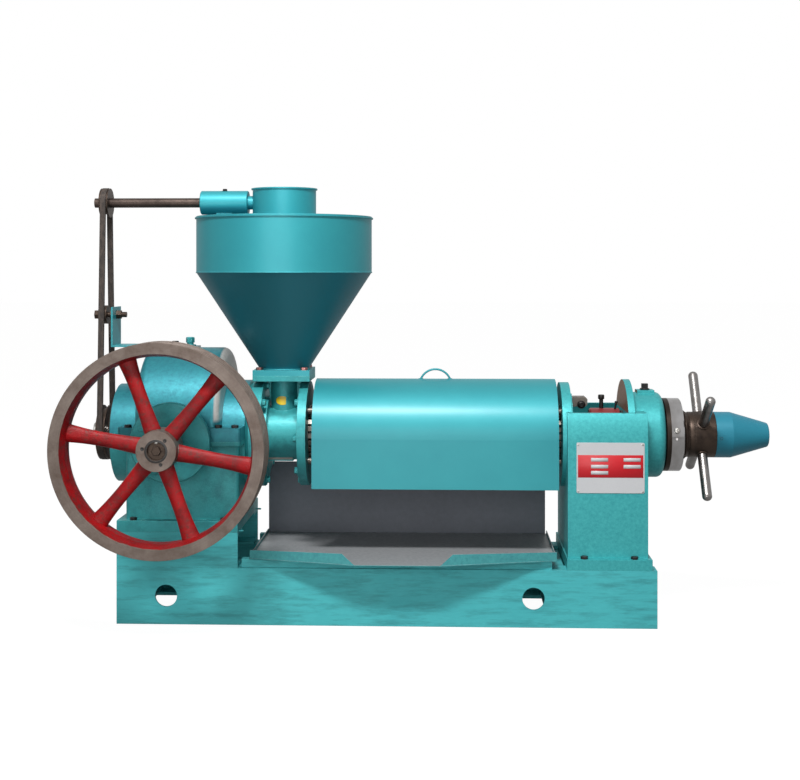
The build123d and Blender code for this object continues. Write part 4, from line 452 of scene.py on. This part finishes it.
LEFT, RIGHT, FRONT, UP = (-1, 0, 0), (1, 0, 0), (0, -1, 0), (0, 0, 1)
SHARP_FROM = radians(35)
HEX_CORNERS, HEX_CHAMFER, WASHER_FACE, WASHER_TOP = 0.577, 0.06, 0.92, 0.85
BEAD_SIDES, BEAD_DIP, BEAD_UNEVEN = 7, 0.78, (0.88, 1.1)


def keep(name, bm, body, material, bevel=0.0):
    """Closes a mesh, turns it to metres and lets it ride on its body."""
    bmesh.ops.remove_doubles(bm, verts=bm.verts, dist=0.001)
    bmesh.ops.recalc_face_normals(bm, faces=bm.faces)
    bmesh.ops.scale(bm, vec=(MM, MM, MM), verts=bm.verts)
    mesh = bpy.data.meshes.new(name)
    bm.to_mesh(mesh)
    bm.free()
    piece = bpy.data.objects.new(name, mesh)
    bpy.context.scene.collection.objects.link(piece)
    mesh.materials.append(material)
    mesh.shade_smooth()
    mesh.set_sharp_from_angle(angle=SHARP_FROM)
    if bevel:
        rounding = piece.modifiers.new("rounded_edges", "BEVEL")
        rounding.width = bevel * MM
        rounding.segments = 2
        rounding.limit_method = "ANGLE"
    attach(piece, body)
    return piece


def pointing(place, direction):
    """A matrix that sets a shape made up the Z axis at a place, along a direction."""
    turn = Vector(direction).to_track_quat("Z", "Y").to_matrix().to_4x4()
    return Matrix.Translation(Vector(place)) @ turn


def on_circle(radius, angle):
    """A place on a circle, as its reach along the first and the second axis."""
    return radius * cos(radians(angle)), radius * sin(radians(angle))


def circle_points(radius, middle, along, count=48, start=0.0, sweep=360.0):
    """Points round an axis of the machine, X or Z."""
    found = []
    for number in range(count):
        angle = start + sweep * number / (count if sweep == 360.0 else count - 1)
        first, second = on_circle(radius, angle)
        shift = (first, second, 0) if along == "Z" else (0, second, first)
        found.append(Vector(middle) + Vector(shift))
    return found


def lathe(bm, outline, place, direction, steps=48):
    """Spins an outline of (radius, height) points round a direction."""
    earlier = set(bm.verts)
    corners = [bm.verts.new((radius, 0, height)) for radius, height in outline]
    lines = [bm.edges.new(pair) for pair in zip(corners, corners[1:])]
    bmesh.ops.spin(bm, geom=corners + lines, cent=(0, 0, 0), axis=UP, angle=2 * pi, steps=steps,
                   use_merge=True)
    turned = [vert for vert in bm.verts if vert not in earlier]
    bmesh.ops.transform(bm, matrix=pointing(place, direction), verts=turned)


def raised(bm, face, rise):
    """Draws a face out into a block and gives back the corners that moved."""
    out = bmesh.ops.extrude_face_region(bm, geom=[face])
    top = [item for item in out["geom"] if isinstance(item, bmesh.types.BMVert)]
    bmesh.ops.translate(bm, vec=rise, verts=top)
    return top


def hexagon(bm, place, direction, across, height, washer):
    """A chamfered hexagon head on its washer."""
    lathe(bm, [(0, 0), (across * WASHER_FACE, 0), (across * WASHER_FACE, washer * 0.8),
               (across * WASHER_TOP, washer), (0, washer)], place, direction, steps=24)
    foot = bmesh.ops.create_circle(bm, cap_ends=True, segments=6, radius=across * HEX_CORNERS)["verts"]
    top = raised(bm, foot[0].link_faces[0], (0, 0, height))
    top_edges = {edge for vert in top for edge in vert.link_edges if all(v in top for v in edge.verts)}
    rounded = bmesh.ops.bevel(bm, geom=list(top_edges), offset=across * HEX_CHAMFER,
                              offset_type="OFFSET", affect="EDGES", segments=1, profile=0.5,
                              material=-1)
    corners = [v for v in set(foot) | set(top) | set(rounded["verts"]) if v.is_valid]
    bmesh.ops.translate(bm, vec=(0, 0, washer), verts=corners)
    bmesh.ops.transform(bm, matrix=pointing(place, direction), verts=corners)


def bead(bm, points, radius, step, closed=False):
    """A weld bead whose ripples swell and shrink along a line of points."""
    route = []
    ends = zip(points, points[1:] + points[:1]) if closed else zip(points, points[1:])
    for start, end in ends:
        start, end = Vector(start), Vector(end)
        count = max(1, int((end - start).length / step))
        route += [start.lerp(end, k / count) for k in range(count)]
    if not closed:
        route.append(Vector(points[-1]))
    rings = []
    for number, place in enumerate(route):
        ahead = route[(number + 1) % len(route)] if closed or number + 1 < len(route) else place
        behind = route[number - 1] if closed or number else place
        swell = radius * (1.0 if number % 2 else BEAD_DIP) * random.uniform(*BEAD_UNEVEN)
        at_end = not closed and number in (0, len(route) - 1)
        ring = bmesh.ops.create_circle(bm, cap_ends=at_end, segments=BEAD_SIDES, radius=swell)["verts"]
        bmesh.ops.transform(bm, matrix=pointing(place, ahead - behind), verts=ring)
        rings.append(ring)
    pairs = list(zip(rings, rings[1:])) + ([(rings[-1], rings[0])] if closed else [])
    for first, second in pairs:
        loops = [edge for ring in (first, second) for vert in ring for edge in vert.link_edges
                 if all(v in ring for v in edge.verts)]
        bmesh.ops.bridge_loops(bm, edges=list(dict.fromkeys(loops)))


def slab(bm, low, high, edge=0.0):
    """A block between two corners, with its edges rounded."""
    made = bmesh.ops.create_cube(bm, size=1.0)["verts"]
    size = [b - a for a, b in zip(low, high)]
    middle = [(a + b) / 2 for a, b in zip(low, high)]
    bmesh.ops.scale(bm, vec=size, verts=made)
    bmesh.ops.translate(bm, vec=middle, verts=made)
    if edge:
        edges = list({e for v in made for e in v.link_edges})
        bmesh.ops.bevel(bm, geom=edges, offset=edge, offset_type="OFFSET", affect="EDGES", segments=2,
                        profile=0.5, material=-1)


def folded(bm, corners, rise):
    """A piece of sheet from its corners, thickened along rise."""
    raised(bm, bm.faces.new([bm.verts.new(corner) for corner in corners]), rise)


# -------------------------------------------------------- nameplate and sticker, left bare

SIGN_LEFT, SIGN_WIDTH = 534.0, 189.0
SIGN_TOP, SIGN_HEIGHT = 512.0, 141.0
BAND_ACROSS, BAND_DOWN, BAND_PROUD = (0.020, 0.980), (0.245, 0.692), 0.3
FIELD_ROWS = ((0.302, (0.212, 0.690)), (0.437, (0.212, 0.690)), (0.560, (0.212,)))
FIELD_WIDTH, FIELD_HEIGHT, FIELD_PROUD = 0.252, 0.072, 0.5
RIVETS_ACROSS, RIVETS_DOWN = (0.026, 0.974), (0.043, 0.965)
RIVET_DOME = [(0, 0), (2.8, 0), (2.6, 0.8), (1.6, 1.5), (0, 1.8)]

NECK_RADIUS = 39.1
STICKER_X, STICKER_Z = INLET_X - 2, 613.0
STICKER_HALF_WIDTH, STICKER_HALF_HEIGHT, STICKER_THICKNESS = 19.0, 13.0, 0.4
STICKER_RINGS = 10


def sign_place(across, down):
    """A place on the plate from its shares of the width and the height."""
    return SIGN_LEFT + SIGN_WIDTH * across, SIGN_TOP - SIGN_HEIGHT * down


band = bmesh.new()
left, top = sign_place(BAND_ACROSS[0], BAND_DOWN[0])
right, bottom = sign_place(BAND_ACROSS[1], BAND_DOWN[1])
slab(band, (left, PLATE_FACE_Y - BAND_PROUD, bottom), (right, PLATE_FACE_Y + BAND_PROUD, top), edge=0.2)
keep("nameplate_band", band, "frame", sign_red)

fields = bmesh.new()
for row, columns in FIELD_ROWS:
    for column in columns:
        left, top = sign_place(column, row)
        right, bottom = sign_place(column + FIELD_WIDTH, row + FIELD_HEIGHT)
        slab(fields, (left, PLATE_FACE_Y - FIELD_PROUD, bottom), (right, PLATE_FACE_Y, top), edge=0.15)
keep("nameplate_blank_fields", fields, "frame", sign_white)

rivets = bmesh.new()
for across in RIVETS_ACROSS:
    for down in RIVETS_DOWN:
        x, z = sign_place(across, down)
        lathe(rivets, RIVET_DOME, (x, PLATE_FACE_Y, z), FRONT, steps=16)
keep("nameplate_rivets", rivets, "frame", steel)

sticker = bmesh.new()
rings = [(number / STICKER_RINGS, STICKER_THICKNESS) for number in range(STICKER_RINGS + 1)]
rings += [(1.0, 0), (0, 0)]
lathe(sticker, rings, (0, 0, 0), UP, steps=40)
bmesh.ops.scale(sticker, vec=(STICKER_HALF_WIDTH, STICKER_HALF_HEIGHT, 1), verts=sticker.verts)
for vert in sticker.verts:
    turn, out = vert.co.x / NECK_RADIUS, NECK_RADIUS + vert.co.z
    vert.co = Vector((STICKER_X + out * sin(turn), -out * cos(turn), STICKER_Z + vert.co.y))
keep("blank_oval_sticker", sticker, "frame", sticker_yellow)

# -------------------------------------------------------- gearbox and wheel

HUB_FACE_Y = -432.0
HUB_HOLE_CIRCLE, HUB_HOLE_ANGLES = 37.0, (50, 170, 290)
HUB_HOLE_RIM = [(0, 0.1), (3.4, 0.1), (4.2, 0.5), (5.0, 0.5), (5.4, -0.5), (0, -0.5)]
GREASE_RING = [(25.2, 1.0), (25.2, 0.9), (28, 0.9), (31, 0.4), (31, -0.5), (25.2, -0.5)]
KEY_HALF_WIDTH, KEY_FOOT, KEY_TOP = 4.0, 20.0, 30.0
KEY_FRONT_Y, KEY_BACK_Y = -430.0, -419.0
TENSIONER_FOOT_X, TENSIONER_FOOT_Z, TENSIONER_BOLTS_Y = -628.0, 775.0, (-42.5, -7.5)
NECK_RING_FACE_X, CAGE_RING_FACE_X = -359.0, -254.0
RING_BOLT_CIRCLE, RING_BOLTS = 138.0, 8
DRAIN_PAD = ((-351.0, -38.6, 441.0), (-277.0, -37.6, 476.0))

# The tapped holes are shallow near-black rims and discs: painted shade for the holes' depth.
hub_holes = bmesh.new()
for angle in HUB_HOLE_ANGLES:
    x, z = on_circle(HUB_HOLE_CIRCLE, angle)
    lathe(hub_holes, HUB_HOLE_RIM, (WHEEL_X + x, HUB_FACE_Y, AXIS_Z + z), FRONT, steps=20)
keep("hub_tapped_holes", hub_holes, "drive_wheel", shadow_black)

# The grease ring is near-black: oil in the hub's groove, with painted shade for its depth.
hub_ring = bmesh.new()
lathe(hub_ring, GREASE_RING, (WHEEL_X, HUB_FACE_Y, AXIS_Z), FRONT)
keep("hub_grease_ring", hub_ring, "drive_wheel", shadow_black)

key = bmesh.new()
slab(key, (WHEEL_X - KEY_HALF_WIDTH, KEY_FRONT_Y, AXIS_Z + KEY_FOOT),
     (WHEEL_X + KEY_HALF_WIDTH, KEY_BACK_Y, AXIS_Z + KEY_TOP), edge=0.8)
keep("hub_key", key, "drive_wheel", steel)

foot_bolts = bmesh.new()
for y in TENSIONER_BOLTS_Y:
    hexagon(foot_bolts, (TENSIONER_FOOT_X, y, TENSIONER_FOOT_Z), UP, across=19, height=8, washer=2)
keep("tensioner_foot_bolts", foot_bolts, "frame", bolt_black, bevel=0.4)

neck_bolts = bmesh.new()
for number in range(1, RING_BOLTS + 1):
    z, y = on_circle(RING_BOLT_CIRCLE, 360 / RING_BOLTS * number)
    for face_x, outward in ((NECK_RING_FACE_X, RIGHT), (CAGE_RING_FACE_X, LEFT)):
        hexagon(neck_bolts, (face_x, y, AXIS_Z + z), outward, across=18, height=9, washer=2)
keep("neck_and_cage_ring_bolts", neck_bolts, "frame", casting_paint, bevel=0.4)

patch = bmesh.new()
slab(patch, *DRAIN_PAD, edge=0.3)
keep("drain_pad_bare_face", patch, "frame", bare_patch)

# -------------------------------------------------------- seams and weld beads

CONE_TOP_RADIUS, CONE_TOP_Z = 256.6, 987.0
CONE_FOOT_RADIUS, CONE_FOOT_Z = 73.0, 705.5
COLLAR_RADIUS, COLLAR_FOOT_Z = 94.0, 1151.0
PLINTH_FACE_Y, PLINTH_FOOT_Z, PLINTH_SEAM_X = 177.5, 259.0, (-752.0, -400.0)
PLATE_ENDS_X, PLATE_SEAM_Y, PLATE_SEAM_Z = (-755.0, -383.0), 170.0, 160.5
LEFT_RING_RADIUS, LEFT_RING_X = 151.5, 526.5
BOSS_RADIUS, BOSS_FOOT_X = 124.0, 703.0

seams = bmesh.new()
cone_top = circle_points(CONE_TOP_RADIUS, (INLET_X, 0, CONE_TOP_Z), "Z", 96)
cone_foot = circle_points(CONE_FOOT_RADIUS, (INLET_X, 0, CONE_FOOT_Z), "Z", 40)
collar_foot = circle_points(COLLAR_RADIUS, (INLET_X, 0, COLLAR_FOOT_Z), "Z", 40, start=20, sweep=300)
bead(seams, cone_top, radius=2.4, step=6.0, closed=True)
bead(seams, cone_foot, radius=3.0, step=5.0, closed=True)
bead(seams, collar_foot, radius=2.2, step=5.0)
keep("hopper_weld_seams", seams, "frame", hopper_paint)

base_welds = bmesh.new()
for y in (-PLINTH_FACE_Y, PLINTH_FACE_Y):
    bead(base_welds, [(x, y, PLINTH_FOOT_Z) for x in PLINTH_SEAM_X], radius=3.0, step=5.0)
for x in PLATE_ENDS_X:
    plate_seam = [(x, y, PLATE_SEAM_Z) for y in (-PLATE_SEAM_Y, PLATE_SEAM_Y)]
    bead(base_welds, plate_seam, radius=3.0, step=5.0)
keep("base_weld_beads", base_welds, "frame", rail_paint_with_painted_sun)

frame_seam = bmesh.new()
ring_top = circle_points(LEFT_RING_RADIUS, (LEFT_RING_X, 0, AXIS_Z), "X", 40, start=-95, sweep=60)
boss_foot = circle_points(BOSS_RADIUS, (BOSS_FOOT_X, 0, AXIS_Z), "X", 48, start=-120, sweep=240)
bead(frame_seam, ring_top, radius=2.4, step=5.0)
bead(frame_seam, boss_foot, radius=4.0, step=6.0)
keep("cake_frame_seams", frame_seam, "frame", casting_paint)

# -------------------------------------------------------- oil tray with its front lips turned up

TRAY_FLOOR_Z, TRAY_SHEET = 184.0, 3.0
TRAY_LEFT, TRAY_RIGHT, TRAY_BACK_Y, SIDE_Y = -380.0, 478.0, 190.0, -200.0
LEFT_NOSE, RIGHT_NOSE, NOSE_Y = -78.0, 151.0, -280.0
NOSE_LIP_RISE, NOSE_LIP_BACK, NOSE_LIP_ASIDE = 31.0, 16.0, 38.0
SIDE_LIP_RISE, SIDE_LIP_BACK = 25.0, 6.0
END_LIP_FOOT, END_LIP_RISE = 1.0, 12.0

tray = bmesh.new()
floor_outline = [(TRAY_LEFT, TRAY_BACK_Y), (TRAY_LEFT, SIDE_Y), (LEFT_NOSE, NOSE_Y),
                 (RIGHT_NOSE, NOSE_Y), (TRAY_RIGHT, SIDE_Y), (TRAY_RIGHT, TRAY_BACK_Y)]
folded(tray, [(x, y, TRAY_FLOOR_Z) for x, y in floor_outline], (0, 0, TRAY_SHEET))
for side, nose, outward in ((TRAY_LEFT, LEFT_NOSE, -1), (TRAY_RIGHT, RIGHT_NOSE, 1)):
    nose_tip = (nose + NOSE_LIP_ASIDE * outward, NOSE_Y + NOSE_LIP_BACK, TRAY_FLOOR_Z + NOSE_LIP_RISE)
    side_tip = (side, SIDE_Y + SIDE_LIP_BACK, TRAY_FLOOR_Z + SIDE_LIP_RISE)
    folded(tray, [(side, SIDE_Y, TRAY_FLOOR_Z), (nose, NOSE_Y, TRAY_FLOOR_Z), nose_tip, side_tip],
           (0, TRAY_SHEET, 0))
    inner = side - TRAY_SHEET * outward
    slab(tray, (min(side, inner), SIDE_Y + TRAY_SHEET, TRAY_FLOOR_Z + END_LIP_FOOT),
         (max(side, inner), TRAY_BACK_Y, TRAY_FLOOR_Z + END_LIP_RISE))
tray_piece = keep("folded_oil_tray", tray, "frame", tray_paint, bevel=0.6)
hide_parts("oil_tray")

# -------------------------------------------------------- cake window

CUP_BOLT = [(0, -3), (6.0, -3), (6.0, 26), (8.6, 26.5), (9.2, 28), (9.2, 37), (8.0, 39), (0, 39)]
CUP_BOLT_PLACE = (622, 0, 591)
SLIM_BOLT = [(0, -4), (3.2, -4), (3.2, 18), (4.6, 18.5), (4.6, 23), (3.8, 24), (0, 24)]
SLIM_BOLT_PLACE, SLIM_BOLT_LEAN = (660, -14, 589), (0.18, -0.05, 1)
SCRAPER_DOME = [(0, 0), (12, 0), (12, 2), (10.5, 6), (7, 9), (5, 9.4), (4, 7.5), (0, 7.5)]
SCRAPER_DOME_PLACE = (562, -22, 603)

cup_bolts = bmesh.new()
lathe(cup_bolts, CUP_BOLT, CUP_BOLT_PLACE, UP, steps=24)
lathe(cup_bolts, SLIM_BOLT, SLIM_BOLT_PLACE, SLIM_BOLT_LEAN, steps=20)
keep("cup_bolts", cup_bolts, "thrust_cup", bolt_black)

scraper_bolt = bmesh.new()
lathe(scraper_bolt, SCRAPER_DOME, SCRAPER_DOME_PLACE, FRONT, steps=28)
keep("scraper_bolt", scraper_bolt, "frame", bolt_black)

# -------------------------------------------------------- adjusting end

SCREW_LEFT_X, SCREW_LEFT_RADIUS, SCREW_BORE, SCREW_BORE_END_X = 672.0, 68.0, 42.0, 869.0
THREAD_PITCH, THREAD_TURNS, THREAD_LEFT_X = 7.0, 27, 674.0
THREAD_RIDGE = [(67.2, 0.0), (70.0, 2.2), (70.0, 4.0), (67.2, 6.2)]
SCREW_HEAD = [(64.0, 869.5), (65.2, 870.5), (66.0, 872), (66.0, 884), (65.2, 885), (66.0, 886),
              (66.0, 945), (65.0, 946), (0, 946)]
BARS, BARS_X, BARS_TURN, BAR_SEAT_RADIUS = 4, 908.0, 34.5, 64.5
BAR_COLLAR = [(14.1, 0), (19, 0), (18.5, 2.4), (16, 3.4), (14.1, 3.6), (14.1, 0)]
SET_SCREW_X, SET_SCREW_SEAT, SET_SCREW_TURN = 958.0, 66.0, radians(62) + 0.35
SET_SCREW_HOLE = [(0, -1), (4.4, -1), (4.4, 0.2), (3.6, 0.2), (3.2, -0.2), (0, -0.2)]
RING_SCREW_X, RING_SCREW_SEAT = 826.0, 104.6
RING_SCREW = [(0, -3), (5.5, -3), (5.5, 1), (8.5, 1.4), (8.5, 4.5), (7, 6.6), (3.4, 7.4), (3.0, 5.5),
              (0, 5.5)]

screw = bmesh.new()
thread = [(SCREW_BORE, SCREW_LEFT_X), (SCREW_LEFT_RADIUS, SCREW_LEFT_X)]
for number in range(THREAD_TURNS):
    ridge_x = THREAD_LEFT_X + THREAD_PITCH * number
    thread += [(radius, ridge_x + along) for radius, along in THREAD_RIDGE]
bore = [(0, SCREW_BORE_END_X), (SCREW_BORE - 1, SCREW_BORE_END_X),
        (SCREW_BORE, SCREW_BORE_END_X - 1), (SCREW_BORE, SCREW_LEFT_X)]
lathe(screw, thread + SCREW_HEAD, (0, 0, AXIS_Z), RIGHT, steps=72)
lathe(screw, bore, (0, 0, AXIS_Z), RIGHT, steps=72)
screw_piece = keep("threaded_adjusting_screw", screw, "adjusting_screw", dark_steel)
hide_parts("adjusting_screw")

rod_collars = bmesh.new()
for number in range(BARS):
    z, y = on_circle(1.0, BARS_TURN + 360 / BARS * number)
    along = Vector((0, y, z))
    seat = Vector((BARS_X, 0, AXIS_Z)) + along * BAR_SEAT_RADIUS
    lathe(rod_collars, BAR_COLLAR, seat, along, steps=28)
keep("rod_collars", rod_collars, "adjusting_screw", dark_steel)

# The set screw's hole is a shallow near-black disc: painted shade for its depth.
cone_hole = bmesh.new()
outward = Vector((0, -sin(SET_SCREW_TURN), -cos(SET_SCREW_TURN) * 0.4)).normalized()
seat = Vector((SET_SCREW_X, 0, AXIS_Z)) + outward * SET_SCREW_SEAT
lathe(cone_hole, SET_SCREW_HOLE, seat, outward, steps=20)
keep("cone_set_screw_hole", cone_hole, "adjusting_screw", shadow_black)

ring_screw = bmesh.new()
outward = Vector((0, -0.978, 0.208))
seat = Vector((RING_SCREW_X, 0, AXIS_Z)) + outward * RING_SCREW_SEAT
lathe(ring_screw, RING_SCREW, seat, outward, steps=24)
keep("lock_ring_screw", ring_screw, "lock_ring", steel)

# -------------------------------------------------------- hood and feeder trimmings

HANDLE_FEET_X, HOOD_TOP_Z = (96, 181), 675
HANDLE_FOOT = [(0, -0.5), (7.5, -0.5), (7.5, 0.6), (6, 1.4), (3.2, 1.8), (0, 1.8)]
OIL_CAP_PLACE = (-482, 0, 1226)

hood_trim = bmesh.new()
for x in HANDLE_FEET_X:
    lathe(hood_trim, HANDLE_FOOT, (x, 0, HOOD_TOP_Z), UP, steps=20)
keep("hood_handle_feet", hood_trim, "hood", sheet_paint)

oil_cap = bmesh.new()
hexagon(oil_cap, OIL_CAP_PLACE, UP, across=12, height=6, washer=1)
keep("sleeve_oil_cap", oil_cap, "frame", bolt_black, bevel=0.3)

# -------------------------------------------------------- floor, light and camera

FLOOR_HALF_SIZE = 40
FLOOR_TONE, FLOOR_GLOW, FLOOR_IN_GLOSS = 0.09, 0.97, 0.35
SKY_ON_MACHINE, SKY_SEEN, SKY_IN_GLOSS = 0.26, 1.0, 0.5
LIT_PLACE = Vector((0.0, 0.0, 0.5))
WHITE = (1.0, 1.0, 1.0, 1.0)


def background_rays(owner):
    """Rays that see the background directly, and those that gloss reflects."""
    path = owner.node_tree.nodes.new("ShaderNodeLightPath")
    direct = plus(owner, path.outputs["Is Camera Ray"], path.outputs["Is Transmission Ray"])
    return direct, path.outputs["Is Glossy Ray"]


def lamp(data, place, power):
    """Hangs a lamp at a place, turned to the middle of the machine."""
    data.energy = power
    hung = bpy.data.objects.new(data.name, data)
    bpy.context.scene.collection.objects.link(hung)
    hung.location = place
    hung.rotation_euler = (LIT_PLACE - Vector(place)).to_track_quat("-Z", "Y").to_euler()


floor_mesh = bmesh.new()
bmesh.ops.create_grid(floor_mesh, x_segments=1, y_segments=1, size=FLOOR_HALF_SIZE)
floor_data = bpy.data.meshes.new("studio_floor")
floor_mesh.to_mesh(floor_data)
floor_mesh.free()
floor = bpy.data.objects.new("studio_floor", floor_data)
bpy.context.scene.collection.objects.link(floor)
floor.location.z = -MM
floor_paint, surface = shader_of("pale_floor", 0.0)
surface.inputs["Base Color"].default_value = (FLOOR_TONE, FLOOR_TONE, FLOOR_TONE, 1)
surface.inputs["Roughness"].default_value = 0.95
surface.inputs["Specular IOR Level"].default_value = 0.0
surface.inputs["Emission Color"].default_value = WHITE
direct, reflected = background_rays(floor_paint)
glow = plus(floor_paint, times(floor_paint, direct, FLOOR_GLOW),
            times(floor_paint, reflected, FLOOR_IN_GLOSS))
join(floor_paint, glow, surface.inputs["Emission Strength"])
floor_data.materials.append(floor_paint)

world = bpy.data.worlds.new("studio")
bpy.context.scene.world = world
world.use_nodes = True
back = world.node_tree.nodes["Background"]
back.inputs["Color"].default_value = WHITE
direct, reflected = background_rays(world)
seen = plus(world, direct, times(world, reflected, SKY_IN_GLOSS))
join(world, spread(world, seen, 0, 1, SKY_ON_MACHINE, SKY_SEEN), back.inputs["Strength"])

noon_light = bpy.data.lights.new("noon_light", "AREA")
noon_light.shape = "RECTANGLE"
noon_light.size, noon_light.size_y = 1.1, 0.45
lamp(noon_light, place=(-0.2, -2.4, 3.8), power=172)
front_fill = bpy.data.lights.new("front_fill", "AREA")
front_fill.size = 2.0
lamp(front_fill, place=(-0.4, -3.3, 0.6), power=36)

camera_data = bpy.data.cameras.new("photo_camera")
camera_data.sensor_width = 36
camera_data.lens = 60.75
camera_data.shift_y = -0.1475
camera = bpy.data.objects.new("photo_camera", camera_data)
bpy.context.scene.collection.objects.link(camera)
camera.location = (0.181, -3.960, 0.988)
camera.rotation_euler = (radians(90), 0, radians(2.12))
bpy.context.scene.camera = camera
bpy.context.scene.view_settings.view_transform = "Standard"
